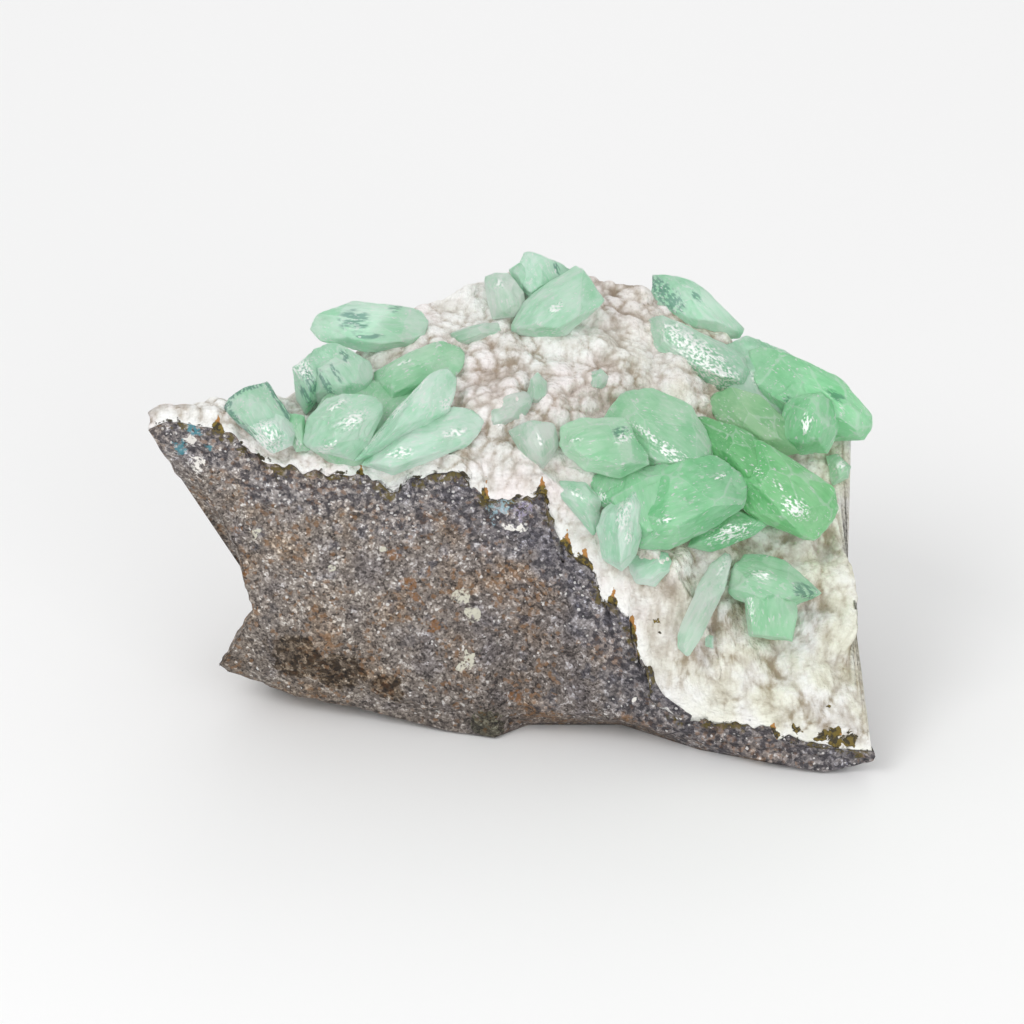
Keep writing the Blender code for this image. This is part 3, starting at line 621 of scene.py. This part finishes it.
# ------------------------------------------------------------------ the apophyllite crystals
# Apophyllite grew last, from hot water in the cavity: blocky four-sided crystals with cut
# edges and flat or wedge-shaped ends. They are clear green inside with milky veils, and
# their faces are striped along the crystal or etched to a bright pearly crust of flecks.
CRUST_UPHILL = np.array([0.0, 0.821, 0.571])  # up the growth plane
CRUST_ORIGIN = np.array([0.0, -21.0, 44.0])  # on the front edge, mm
GROWTH = np.array([0.0, -0.883, 0.469])  # the crystals grew out of the crust and a little downhill
OUTLINE_GROWTH = 0.03  # share that outlines are widened by, so that neighbours grow together
LEAN = 0.68  # share of its bevel angle that a side face leans in by
LEAN_VARIES = 0.4  # by this share from face to face
UNDER_LEAN = 18.0  # degrees that the faces below the outline lean in, towards the crust
SHARPNESS = 150.0  # how crisp the edges between two faces are
EDGE_LINE = 60.0  # how narrow the line along an edge is, where chips are cut and a pale line is laid: wear, and a painted highlight
SMALL_CUTS = 6  # small faces over the corners of each crystal
CUT_TILT, CUT_TILT_VARIES = 36, 11  # degrees off the growth direction
CUT_LEAVES = 0.93  # share of the outline's reach that a small cut leaves
LEDGE = 0.028  # height of a growth ledge, share of the crystal's half width
STRIPE, FINE_STRIPE, PIT, CHIP = 0.08, 0.05, 0.05, 0.5  # mm, height of the faces' relief
WAVE = 0.018  # height of the faces' slow waves, share of the crystal's half width
SMALL_MM = 4  # a crystal with less half width than this has less relief
BAND_FROM = 0.76  # share of the way out to the outline, where a dark band begins
ROUND_POINTS_MM = 4.6  # points round a crystal for each mm of its length
# corners are the widest outline of a crystal, as (along, up) mm on a plane at height mm
# above the growth plane. heading is the way its stripes run in that plane, in degrees from
# +X towards uphill. tops are its end faces: (slopes down towards, slope, mm above the
# outline). bevel is the angle of the cut faces around them and deep its reach below the
# outline. etched and dark are places on it: (along, up, half length, half width). band is
# how dark it is all round near its outline, from 0 to 1.
Crystal = namedtuple("Crystal", "finish height heading corners tops bevel deep etched dark band",
                     defaults=(50, 6, (), (), 0))


def on_growth_plane(along, up, height):
    """origin + along times X + up times uphill + height times the plane's normal, in mm."""
    along, up, height = np.broadcast_arrays(along, up, height)
    return (CRUST_ORIGIN + along[..., None] * RIGHT + up[..., None] * CRUST_UPHILL
            + height[..., None] * CRUST_NORMAL)


def slope_normal(towards, slope):
    """Normal of a face that slopes down towards a heading of the growth plane."""
    towards, slope = np.radians(towards), np.radians(slope)
    down = RIGHT * np.cos(towards) + CRUST_UPHILL * np.sin(towards)
    return down * np.sin(slope) + CRUST_NORMAL * np.cos(slope)


def chances(count, step_x, step_y, seed, draw):
    """Repeatable numbers from -1 to 1, one for each of count faces of a crystal."""
    number = np.arange(count)
    cell = np.stack([number * step_x, number * step_y, number * 0 + seed], axis=-1)
    return lattice_value(cell, draw)


def crystal_faces(spec, seed):
    """The centre of the outline, then each face as a normal and its distance from the centre. Two
    faces meet in each edge of the outline: one leans in along the growth direction, one against it.
    The small cuts take off the corners between the end faces and the sides."""
    corners = np.array(spec.corners, float)
    corners += (corners - corners.mean(axis=0)) * OUTLINE_GROWTH
    onward = np.roll(corners, -1, axis=0)
    twist = corners[:, 0] * onward[:, 1] - onward[:, 0] * corners[:, 1]
    middle = ((corners + onward) * twist[:, None]).sum(axis=0) / (3 * twist.sum())
    centre = on_growth_plane(middle[0], middle[1], spec.height)
    points = on_growth_plane(corners[:, 0], corners[:, 1], spec.height)
    sides = unit(np.cross(np.roll(points, -1, axis=0) - points, GROWTH))
    reach = np.sum(sides * (points - centre), axis=-1)
    sides *= np.sign(reach)[:, None]
    vary = chances(len(corners), 1, 3, seed, 61)
    lean = np.radians(LEAN * spec.bevel * (1 + LEAN_VARIES * vary))[:, None]
    under = math.radians(UNDER_LEAN)
    normals = [sides * np.cos(lean) + GROWTH * np.sin(lean),
               sides * np.cos(under) - GROWTH * np.sin(under)]
    tops = [(slope_normal(towards, slope), high * math.cos(math.radians(slope)))
            for towards, slope, high in spec.tops]
    normals = np.concatenate(normals + [np.array([normal for normal, _ in tops] + [-CRUST_NORMAL])])
    reach = np.abs(reach)
    distances = np.concatenate([reach * np.cos(lean[:, 0]), reach * math.cos(under),
                                [distance for _, distance in tops] + [spec.deep]])
    chance = chances(SMALL_CUTS, 5, 1, seed, 63)
    turn = np.arange(SMALL_CUTS) * 2 * np.pi / SMALL_CUTS + chance
    tilt = np.radians(CUT_TILT + CUT_TILT_VARIES * chance)
    cuts = [np.sin(tilt) * np.cos(turn), np.sin(tilt) * np.sin(turn), np.cos(tilt)]
    cuts = np.stack(cuts, axis=-1) @ np.stack([RIGHT, np.cross(GROWTH, RIGHT), GROWTH])
    skin = 1 / np.max(cuts @ normals.T / distances, axis=1)
    outline = np.max((points - centre) @ cuts.T, axis=0)
    distances = np.concatenate([distances, np.maximum(skin * 1.01, outline * CUT_LEAVES)])
    return centre, np.concatenate([normals, cuts]), distances, sides, reach


def crystal_piece(name, node, spec, seed, material):
    """In each direction u the skin is (sum of (n.u / d) ** k) ** (-1 / k) away from the centre,
    over the faces with normal n at distance d: flat faces with edges that are a little worn."""
    centre, normals, distances, sides, reach = crystal_faces(spec, seed)
    heading = math.radians(spec.heading)
    length = RIGHT * math.cos(heading) + CRUST_UPHILL * math.sin(heading)
    length = unit(length - GROWTH * (length @ GROWTH))
    width = np.cross(GROWTH, length)
    half = 1 / np.max(np.stack([length, width, -length, -width]) @ normals.T / distances, axis=1)
    long, wide = (half[0] + half[2]) / 2, (half[1] + half[3]) / 2
    columns = int(np.clip(2 * (long + wide) * ROUND_POINTS_MM, 90, 230))
    rows = int(columns * 0.56)
    around = np.linspace(0, 2 * np.pi, columns, endpoint=False)[None, :]
    tilt = np.linspace(0, np.pi, rows + 2)[1:-1, None]
    thick = 0.7 * min(long, wide)
    ring = long * np.cos(around)[..., None] * length + wide * np.sin(around)[..., None] * width
    ray = unit(np.sin(tilt)[..., None] * ring + (thick * np.cos(tilt))[..., None] * GROWTH)
    nearness = np.maximum(ray @ normals.T / distances, 0)
    nearest = nearness.max(axis=-1, keepdims=True)
    skin = (nearness / nearest) ** SHARPNESS
    away = skin.sum(axis=-1) ** (-1 / SHARPNESS) / nearest[..., 0]
    edge = 2 - 2 / ((nearness / nearest) ** EDGE_LINE).sum(axis=-1)
    tone = skin @ chances(len(distances), 7, 1, seed, 65) / skin.sum(axis=-1)
    own = ray * away[..., None]
    across, onward, through = own @ width, own @ length, own @ GROWTH
    size = min(long, wide)
    small = min(1, size / SMALL_MM)
    stripe = np.stack([across, through, onward * 0.12], axis=-1) + seed * 17.0
    ledge = np.stack([across, through, onward * 0.35], axis=-1) + seed * 11.0
    ledge = lumps(ledge, size * 0.5, 56) * 2.6
    away += (np.floor(ledge) + np.clip((ledge - np.floor(ledge)) * 8 - 7, 0, 1)) * LEDGE * size
    away += STRIPE * lumps(stripe, 1.3, 51) * small + FINE_STRIPE * lumps(stripe, 0.6, 54)
    away += (WAVE * size * lumps(own + seed * 9.0, size * 0.8, 52)
             + PIT * lumps(own + seed * 5.0, 1.4, 53))
    chip = np.clip(lumps(own + seed * 3.0, 1.7, 55) - 0.25, 0, 1) * np.clip(edge, 0, 1)
    away -= CHIP * chip * small
    grid = centre + ray * away[..., None]
    above = (grid - centre) @ CRUST_NORMAL / (GROWTH @ CRUST_NORMAL)
    flat = (grid - centre) - above[..., None] * GROWTH
    middle = centre - CRUST_ORIGIN
    along, up = flat[..., 0] + middle[0], flat @ CRUST_UPHILL + middle @ CRUST_UPHILL
    rim = np.max(own @ sides.T / reach, axis=-1)

    def patches(places):
        """1 in the middle of a patch, 0 outside it; patches are ellipses along the stripes."""
        amount = np.zeros_like(away)
        for place_along, place_up, half_length, half_width in places:
            a, u = along - place_along, up - place_up
            far = np.hypot((a * math.cos(heading) + u * math.sin(heading)) / half_length,
                           (u * math.cos(heading) - a * math.sin(heading)) / half_width)
            amount = np.maximum(amount, np.clip(1.4 - far, 0, 1))
        return amount

    dark = np.maximum(patches(spec.dark), spec.band * np.clip((rim - BAND_FROM) * 9, 0, 1))
    marks = {"across": across, "through": through, "onward": onward, "edge": edge, "tone": tone,
             "etched": patches(spec.etched), "dark": dark}
    piece = closed_piece(name, grid, marks)
    piece.data.materials.append(material)
    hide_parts(node)
    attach(piece, "root")


def crystal_finish(name, tint, milky, clear, absorb, density, roughness):
    """Clear crystal: plain transmission and absorption, with stripes, veils and bright flecks."""
    material, shader, glass, place = finish(
        "apophyllite_" + name, Transmission_Weight=clear, IOR=1.535, Specular_IOR_Level=0.3)
    across, through, onward, tone, edge, dark, etching = (glass.mark(mark) for mark in (
        "across", "through", "onward", "tone", "edge", "dark", "etched"))
    own = glass.add("ShaderNodeCombineXYZ", {}, {0: across * MM, 1: through * MM, 2: onward * MM})
    stripes = own.drawn(0.16).noise(0.6, 2.0)
    milk = place.noise(3.6, 3.0) * 0.7 + own.drawn(0.4).noise(1.6, 2.0) * 0.3
    milk = milk.fade(0.44, 0.66)
    shade = tuple(c * s for c, s in zip(tint, (0.72, 0.90, 0.78)))
    dark = dark * own.drawn(0.2).noise(0.5, 2.0).fade(0.32, 0.66)
    # Pale line along the edges: wear, and a painted highlight of the edges' shine.
    edge_wear_and_highlight = (edge + place.swing(1.4, 2.0, 1.3)).fade(0.50, 0.95)
    flecks = own.drawn(0.55).noise(0.38, 2.0)
    etched = (etching * 0.16 + flecks).fade(0.61, 0.69) * etching.fade(0.0, 0.4)
    dashes = own.drawn(0.3).noise(0.34, 0.0).fade(0.71, 0.76)
    dashes = dashes * place.noise(4.0, 2.0).fade(0.44, 0.56)
    sparkle = own.drawn(0.6).noise(0.6, 1.0).fade(0.60, 0.68)
    sparkle = sparkle * place.noise(2.6, 2.0).fade(0.48, 0.60)
    colour = (
        place.noise(5.0, 3.0).ramp([(0.36, shade), (0.6, tint)])
        .over(milk * 0.4, milky)
        .tinted(tone.fade(0.1, -0.9) * 0.6, (0.70, 0.87, 0.77))
        .over(tone.fade(0.1, 0.9) * 0.3, milky)
        .over(stripes.fade(0.52, 0.70) * 0.4, milky)
        .tinted(stripes.fade(0.46, 0.32) * 0.4, (0.72, 0.89, 0.79))
        .tinted(own.drawn(0.2).noise(1.9, 2.0).fade(0.47, 0.36) * 0.4, (0.72, 0.90, 0.80))
        .tinted(dark.fade(0.03, 0.55), (0.36, 0.48, 0.49))
        .over(edge_wear_and_highlight * 0.35, (0.93, 1.0, 0.96))
        .tinted(etching.fade(0.1, 0.6) * flecks.fade(0.44, 0.34) * 0.7, (0.55, 0.76, 0.66))
        .over(etched.highest(dashes * 0.9).highest(sparkle * 0.55), (0.97, 1.0, 0.97)))
    rough = stripes * 0.14 + milk * 0.12 + etched * 0.2 + roughness
    height = stripes * 0.22 + place.noise(1.1, 2.0) * 0.16 + flecks * etching * 0.9
    connect(shader, glass, colour, rough, height, 0.3)
    glass.tree.links.new((etched * 0.75).socket, shader.inputs["Metallic"])
    values = {"Color": (*absorb, 1), "Density": density}
    volume = glass.add("ShaderNodeVolumeAbsorption", {}, values)
    glass.tree.links.new(volume.socket, glass.tree.nodes["Material Output"].inputs["Volume"])
    return material


# Each finish: tint, milky colour, share of light let through, colour of the light that has
# gone through, how dense, roughness.
FINISHES = {
    "mint": ((0.71, 0.99, 0.81), (0.90, 1.0, 0.94), 0.5, (0.50, 0.97, 0.66), 8.0, 0.34),
    "frost": ((0.74, 0.99, 0.84), (0.93, 1.0, 0.96), 0.4, (0.60, 0.97, 0.78), 5.0, 0.36),
    "leaf": ((0.59, 0.95, 0.67), (0.80, 0.99, 0.84), 0.5, (0.35, 0.96, 0.5), 10.0, 0.34),
    "grass": ((0.45, 0.93, 0.55), (0.66, 0.98, 0.74), 0.5, (0.3, 0.95, 0.45), 12.0, 0.34),
    "green": ((0.36, 0.86, 0.41), (0.50, 0.94, 0.55), 0.5, (0.25, 0.94, 0.33), 16.0, 0.34),
    "deep": ((0.25, 0.71, 0.29), (0.37, 0.82, 0.42), 0.5, (0.2, 0.92, 0.28), 20.0, 0.34),
    "olive": ((0.48, 0.82, 0.48), (0.64, 0.90, 0.62), 0.5, (0.45, 0.88, 0.4), 10.0, 0.36),
    "pale": ((0.86, 0.99, 0.90), (0.96, 1.0, 0.97), 0.55, (0.85, 0.98, 0.90), 2.5, 0.34),
}
crystal_materials = {name: crystal_finish(name, *values) for name, values in FINISHES.items()}

CRYSTALS = {
    "crystal_left_cube": {
        "left_cube": Crystal("mint", 9.9, 113, [(-51.5, 18), (-51, 20), (-50, 21), (-43.5, 24),
            (-39.5, 16.5), (-40.5, 11.5), (-44.5, 10.5), (-48.5, 14.5)], [(-70, 14, 2.3)], 25, 6, band=1),
        "left_cube_front": Crystal("frost", 9.6, 113, [(-47.5, 14.5), (-45, 16), (-42, 17), (-38.5, 15),
            (-39, 10.5), (-42.5, 9), (-45, 11)], [(-100, 24, 3.2), (10, 48, 4)], 41, 5,
            [(-43.6, 12.2, 4.0, 3.0)]),
    },
    "crystal_left_point": {
        "left_point": Crystal("mint", 6.2, 178, [(-37, 36), (-35, 39), (-28.5, 42), (-22, 41), (-16.5, 40),
            (-15, 37.5), (-16, 34.5), (-18, 32.5), (-25.5, 31.5), (-34.5, 33.5)], [(-92, 24, 2.8),
            (80, 10, 2.6), (222, 42, 6.2), (-5, 30, 6.4)], 44, 5, (), [(-28.4, 37.8, 2.6, 2.2),
            (-26.5, 34.6, 3.2, 0.6), (-21, 40.4, 1.2, 1.0)]),
    },
    "cluster_left": {
        "left_plate": Crystal("mint", 7.5, 118, [(-39.5, 27.5), (-36.5, 30.5), (-34.5, 31), (-33.5, 26.5),
            (-34.5, 21), (-37, 18), (-38.5, 21)], [(200, 24, 2.6), (20, 7, 2.1)], 45, 6,
            [(-37.4, 27.4, 2.6, 1.8)], [(-35.8, 24, 3.4, 1.0), (-36.8, 21.5, 2.4, 0.6)]),
        "left_block": Crystal("mint", 7.9, 118, [(-36, 31.5), (-31.5, 32.5), (-25.5, 28.5), (-25, 25.5),
            (-26, 22), (-30, 20), (-34.5, 20), (-36.5, 21.5), (-37, 26.5)], [(-60, 10, 2.8), (60, 15, 3.2)],
            49, 7, (), [(-30, 29.6, 1.4, 0.7), (-33.3, 24, 3.2, 0.7), (-31.4, 26, 2.0, 0.5)]),
        "left_bright": Crystal("mint", 9.8, 35, [(-33, 20), (-30.5, 21), (-24.5, 21), (-23, 18.5),
            (-23.5, 15.5), (-25.5, 10.5), (-28.5, 7.5), (-35.5, 9.5), (-37.5, 11), (-36.5, 16)],
            [(-75, 12, 3.2), (205, 36, 4.4), (-50, 48, 5.6)], 49, 8, [(-28.3, 15.4, 3.4, 1.5),
            (-33, 9.8, 2.6, 0.9), (-31, 18.6, 2.0, 0.7)]),
        "left_long": Crystal("frost", 10.6, 50, [(-28, 7), (-21, 17), (-14.5, 24.5), (-11.5, 26), (-9, 24),
            (-9.5, 20.5), (-11, 17), (-23.5, 8)], [(138, 21, 3.7), (-50, 16, 3.3), (35, 19, 7.5)], 49, 8,
            [(-24.9, 11.6, 4, 1.0), (-20.8, 17.2, 4, 1.0), (-17.3, 21.5, 3, 0.9), (-11.6, 18.3, 1.4, 1)]),
        "left_upper": Crystal("leaf", 6.6, 30, [(-25, 27), (-18.5, 31), (-13, 33.5), (-9.5, 33), (-8, 31),
            (-8.5, 28), (-13, 23), (-20, 19), (-23.5, 21.5)], [(-70, 10, 2.5), (110, 15, 2.8),
            (10, 30, 6.2)], 49, 6, [(-19.2, 29, 1.4, 0.6)]),
        "left_lower": Crystal("frost", 8.0, 12, [(-22.5, 12.5), (-16.5, 17.5), (-10.5, 19.5), (-7, 19),
            (-4.5, 16.5), (-5.5, 14), (-8.5, 11), (-21, 5.5), (-27, 7.5)], [(-85, 22, 3), (95, 7, 2.6),
            (0, 26, 5.6)], 49, 8, [(-19.9, 10, 2.4, 1.2), (-10.2, 14, 2.4, 0.8)]),
        "left_root": Crystal("leaf", 6.0, 60, [(-37, 12), (-34, 22), (-28, 27), (-17, 26), (-10, 20),
            (-9, 14), (-18, 9), (-31, 8)], [(-80, 8, 2.4), (90, 8, 2.6)], 49, 6),
        "left_sliver": Crystal("leaf", 7.9, 99, [(-40, 18), (-37, 17.5), (-36, 10.5), (-38.5, 10),
            (-39.5, 12.5)], [(-40, 24, 1.6)], 45, 4, [(-38.2, 12, 1.2, 0.6)]),
    },
    "crystal_pale_centre": {
        "pale_centre": Crystal("pale", 6.2, 39, [(-5.5, 19), (-2.5, 21.5), (2, 23.5), (4.5, 22.5),
            (1.5, 16.5), (-3.5, 14.5)], [(-60, 12, 1.8), (120, 11, 1.8)], 53, 4),
        "tiny_clear": Crystal("pale", 6.6, 100, [(2.4, 21.5), (3.2, 25.5), (4.6, 27), (6.2, 25), (6.4, 22),
            (4.6, 20.4)], [(-60, 20, 1.4)], 49, 3),
    },
    "crystal_embedded": {
        "embedded": Crystal("pale", 7.0, 107, [(-1, 15), (3, 17), (7.5, 16.5), (8.5, 12), (5.5, 7),
            (2.5, 9)], [(-80, 12, 2.3), (60, 13, 3)], 53, 6, [(5, 13, 1.4, 0.6)]),
    },
    "crystal_striated": {
        "striated": Crystal("pale", 4.8, 16, [(-11, 36), (-7.5, 37.5), (-2.5, 38.5), (-2, 36.5), (-7.5, 33),
            (-10.5, 33.5)], [(-70, 10, 1.4)], 49, 3),
    },
    "cluster_top": {
        "top_wedge": Crystal("mint", 6.4, 40, [(2.5, 42), (11.5, 49.5), (14, 46.5), (17, 41.5), (13.5, 38),
            (10.5, 34.5), (5, 34), (0, 35.5), (0, 37)], [(-50, 18, 2.8), (132, 23, 3.9)], 37, 6,
            [(7.9, 40.2, 1.8, 0.8)]),
        "top_point": Crystal("frost", 6.2, 113, [(1.5, 50), (2, 52.5), (3.5, 52), (9, 50), (11, 48.5),
            (8, 44.5), (3.5, 42), (1.5, 45)], [(-20, 34, 2.3), (200, 24, 2.1)], 37, 6, (),
            [(8.2, 48.6, 1.3, 0.5)]),
        "top_small": Crystal("mint", 5.8, 114, [(-0.5, 48.5), (1.5, 50), (3.5, 49), (3.5, 44), (1, 44)],
            [(-60, 20, 1.6)], 49, 5),
        "top_clear": Crystal("pale", 6.6, 100, [(-5.5, 46.5), (-3, 47.5), (-0.5, 47.5), (2, 43.5),
            (2.5, 40), (0.5, 38.5), (-4, 38), (-4.5, 42)], [(-100, 12, 1.9)], 49, 5,
            [(-2.2, 45.2, 1.2, 0.6)]),
    },
    "cluster_centre": {
        "centre_left": Crystal("leaf", 9.2, 15, [(8, 11), (8.5, 14.5), (12, 16.5), (20, 16.5), (21.5, 14),
            (24.5, 7), (19, 4), (13, 5.5), (10.5, 8)], [(-85, 10, 2.6), (150, 14, 3.9), (0, 40, 5.6)], 49,
            8, [(19.8, 12.2, 1.8, 1.0), (11.2, 11.8, 1.2, 0.5)], [(19.2, 13.4, 1.6, 1.0)]),
        "centre_block": Crystal("leaf", 4.3, -42, [(16, 19), (19.5, 25), (25.5, 25.5), (31.5, 22), (36, 14),
            (37, 9), (33, 5), (24.5, 6), (18, 12)], [(-75, 8, 3.7), (80, 13, 4.6), (215, 34, 6.3)], 45, 10,
            [(28.6, 11.4, 4.6, 1.5), (24.0, 15.6, 3.6, 0.7), (32.4, 8.2, 2.0, 1.4)]),
        "centre_point": Crystal("frost", 2.8, 80, [(16, 1), (18.5, 3), (22, 5), (23.5, 1.5), (23.5, -2),
            (22, -8), (19.5, -11), (16, -8.5), (15, -2.5)], [(-150, 30, 5.5), (-40, 26, 5.3),
            (-85, 46, 8.4)], 41, 8, [(19.8, 0.8, 3.6, 1.3), (22, 5, 1.6, 0.6), (20.6, -4.2, 1.6, 0.8)]),
        "faint_high": Crystal("pale", 3.6, 70, [(13.5, 28.5), (16, 29.5), (17.5, 27.5), (16.5, 25),
            (14, 25)], [(-60, 12, 0.8)], 53, 2),
        "faint_low": Crystal("frost", -2.8, 40, [(20.5, -6.5), (23.5, -3.5), (28, -4.5), (28.5, -8),
            (25.5, -11.5), (22, -10.5)], [(-80, 12, 1.0)], 53, 3),
        "centre_rod": Crystal("frost", 4.4, 56, [(20.2, 3.0), (21.8, 6.4), (23.0, 6.8), (22.6, 4.6),
            (21.2, 2.4)], [(-60, 20, 3.9)], 37, 4, [(21.6, 4.8, 2.4, 0.8)]),
        "centre_frost": Crystal("mint", 3.3, 137, [(8, 7), (13, 6.5), (16, 3), (15.5, -2), (14.5, -4.5),
            (9, 3)], [(-100, 20, 2.5), (40, 11, 2.6)], 53, 7, [(11.4, 4.4, 1.8, 0.8)]),
        "centre_root": Crystal("grass", 3.4, 100, [(13, 7.5), (18, 9.5), (26.5, 10), (34.5, 9), (37.5, 3),
            (31.5, -3.5), (23.5, -6), (15.5, 2)], [(-90, 14, 3), (160, 11, 4)], 53, 8,
            [(17.4, 8.6, 1.6, 1.0), (16, 3.4, 1.6, 0.8)]),
        "centre_wide": Crystal("grass", 4.1, 20, [(27, 8.5), (35.5, 12), (38, 11.5), (41.5, 8), (42.5, 5),
            (41, 1), (35, -4), (28, -7.5), (23, -7), (22, -2), (23, 4.5)], [(-80, 8, 3.7), (100, 12, 4.8),
            (-30, 38, 7.2)], 49, 9, [(37.4, 7.4, 1.6, 0.6), (27.2, -1.6, 1.8, 0.6)]),
        "centre_flecked": Crystal("grass", -1.6, 20, [(33.5, 1), (39.5, 3.5), (46, 0.5), (43, -2),
            (35.5, -5), (31.5, -4)], [(-80, 16, 2.6), (100, 8, 2.6)], 49, 6, [(38.8, -1.2, 4.6, 1.9)]),
        "centre_deep": Crystal("deep", 2.4, -40, [(31.5, 21.5), (35, 21), (43, 16.5), (47.5, 12), (46.5, 5),
            (42, 2), (37, 8.5)], [(-100, 6, 3.4), (70, 8, 3.6)], 50, 10),
        "centre_large": Crystal("green", 2.1, -40, [(37.5, 17.5), (44, 16), (54.5, 8.5), (57.5, 6), (58, 2),
            (56.5, -2), (54, -4.5), (52, -4.5), (46.5, -2), (41.5, 1.5), (39, 7.5)], [(-100, 14, 4.4),
            (60, 14, 4.8), (-35, 24, 8.3)], 53, 12, [(50.3, 2, 2.8, 2.0), (43.4, 9.4, 1.4, 0.7),
            (47.4, 6.2, 1.6, 0.5)]),
        "centre_olive": Crystal("olive", -3.0, 138, [(34.5, 25.5), (36.5, 28.5), (40, 29.5), (45, 27),
            (50, 21.5), (52.5, 16), (46.5, 14.5), (40.5, 18)], [(-120, 16, 2.6), (50, 10, 2.6)], 53, 7),
    },
    "cluster_right": {
        "right_top": Crystal("mint", -5.9, 128, [(25, 54), (25, 55), (29, 54.5), (33, 53), (36, 50.5),
            (42.5, 43), (41.5, 41), (37, 41), (30.5, 43.5), (26, 47)], [(-130, 20, 2.8), (50, 12, 2.8),
            (150, 16, 6.7)], 49, 8, (), [(27.2, 51.2, 3.0, 1.6), (29.0, 48.8, 3.2, 1.9),
            (33.6, 49.6, 1.6, 0.6)]),
        "right_flecked": Crystal("mint", -3.7, 140, [(23, 41.5), (23.5, 43.5), (25, 44.5), (27.5, 44.5),
            (38, 39), (42, 36), (44, 32), (44, 28.5), (39, 27.5), (35, 28.5), (30, 32), (25, 35.5)],
            [(-120, 12, 3.3), (50, 11, 3.5), (140, 14, 6.7)], 49, 8, [(31.6, 39.0, 5.2, 2.4),
            (35, 35, 5.4, 3.0), (39.0, 31.2, 3.8, 2.4)]),
        "right_long": Crystal("grass", -4.7, -38, [(42, 38.5), (46, 39), (58, 33), (60, 31.5), (65, 24.5),
            (65, 22.5), (63.5, 19.5), (57.5, 19), (52, 21), (46.5, 26.5), (43, 33)], [(-110, 14, 3.9),
            (60, 13, 4), (-40, 34, 8.8)], 49, 9, (), [(58.8, 28, 2.0, 0.8), (50.4, 27, 1.6, 0.7)]),
        "right_root": Crystal("mint", -6.4, 118, [(38, 40), (43, 42.5), (52, 38), (53, 28), (48.5, 20.5),
            (42.5, 21), (37, 27), (36, 34)], [(-95, 10, 2.6), (85, 9, 2.8)], 53, 7, [(44.6, 32, 2.0, 0.8)]),
        "right_barrel": Crystal("grass", -3.6, 84, [(51, 27.5), (56, 28.5), (58, 26.5), (59, 23.5),
            (58.5, 19.5), (57, 16), (52, 16), (48.5, 18.5), (48, 21.5), (49.5, 26)], [(-100, 20, 4.6),
            (0, 34, 5.5), (180, 34, 5.5)], 45, 9, [(53, 21.8, 2.2, 1.0)]),
    },
    "crystal_edge": {
        "edge": Crystal("leaf", -9.8, 51, [(57, 18.5), (59, 19), (61.5, 16.5), (61, 14), (58, 12.5)],
            [(-60, 24, 1.8), (60, 13, 1.8)], 49, 4, [(59.4, 16.6, 1.6, 0.8)]),
    },
    "crystal_blade": {
        "blade": Crystal("pale", -4.3, 66, [(40, -2.5), (37.5, -3), (35, -5.5), (32.5, -11.5), (29.5, -20),
            (29.5, -22.5), (31.5, -24.5), (34, -20), (37.5, -12), (40, -5.5)], [(-20, 16, 1.6),
            (160, 11, 1.6)], 58, 5, [(37.8, -6, 2.6, 0.6)]),
        "blade_foot": Crystal("frost", -11.3, 90, [(34.5, -16.5), (36, -17), (36, -19.5), (34.5, -19)],
            [(-60, 20, 0.9)], 49, 2),
    },
    "crystal_lower": {
        "lower_front": Crystal("leaf", -6.5, -88, [(41, -9.5), (43, -8), (49.5, -8.5), (51, -13.5),
            (50, -20.5), (42, -19.5), (41.5, -14.5)], [(-88, 22, 3)], 20, 7, [(42.4, -13.6, 3.0, 0.5)]),
        "lower_back": Crystal("leaf", -4.8, -22, [(38.5, -11.5), (39, -7), (41, -3), (45, -3.5), (48.5, -5),
            (55, -11.5), (50.5, -14.5), (45, -15), (40, -13)], [(-100, 12, 2.3), (60, 14, 2.6)], 53, 7,
            [(44.2, -8, 2.2, 1.0)], [(52, -11.2, 2.4, 1.4)]),
    },
}
seed = 0
for node, members in CRYSTALS.items():
    for name, spec in members.items():
        seed += 1
        crystal_piece("apophyllite_" + name, node, spec, seed, crystal_materials[spec.finish])

# ------------------------------------------------------------------ floor, light and camera
floor_mesh = bpy.data.meshes.new("floor")
floor_mesh.from_pydata([(-4, -4, 0), (4, -4, 0), (4, 4, 0), (-4, 4, 0)], [], [(0, 1, 2, 3)])
floor = bpy.data.objects.new("floor", floor_mesh)
bpy.context.scene.collection.objects.link(floor)
floor_mesh.materials.append(finish("floor", Base_Color=(0.9, 0.9, 0.9, 1), Roughness=0.8)[0])

world = bpy.data.worlds.new("studio")
world.use_nodes = True
world.node_tree.nodes["Background"].inputs["Color"].default_value = (1, 1, 1, 1)
world.node_tree.nodes["Background"].inputs["Strength"].default_value = 0.75
bpy.context.scene.world = world


def soft_light(name, place, aim, size, power):
    """A square soft box that faces a point."""
    data = bpy.data.lights.new(name, "AREA")
    data.size = size
    data.energy = power
    lamp = bpy.data.objects.new(name, data)
    lamp.location = place
    lamp.rotation_euler = (Vector(aim) - Vector(place)).to_track_quat("-Z", "Y").to_euler()
    bpy.context.scene.collection.objects.link(lamp)


soft_light("key", (-0.5, -0.55, 0.8), (0, 0, 0.04), 0.5, 3.2)
soft_light("fill", (0.45, -0.9, 0.4), (0, 0, 0.04), 0.7, 2.6)
soft_light("back", (0.1, 0.8, 0.6), (0, 0, 0.05), 0.6, 1.0)

eye_data = bpy.data.cameras.new("camera")
eye_data.lens = 192.6
eye_data.clip_start = 0.01
eye = bpy.data.objects.new("camera", eye_data)
aim = Vector((0, 0, 0.035))
elevation = math.radians(28)
eye.location = aim + Vector((0, -math.cos(elevation), math.sin(elevation)))
eye.rotation_euler = (aim - eye.location).to_track_quat("-Z", "Y").to_euler()
bpy.context.scene.collection.objects.link(eye)
bpy.context.scene.camera = eye
bpy.context.scene.view_settings.view_transform = "Standard"
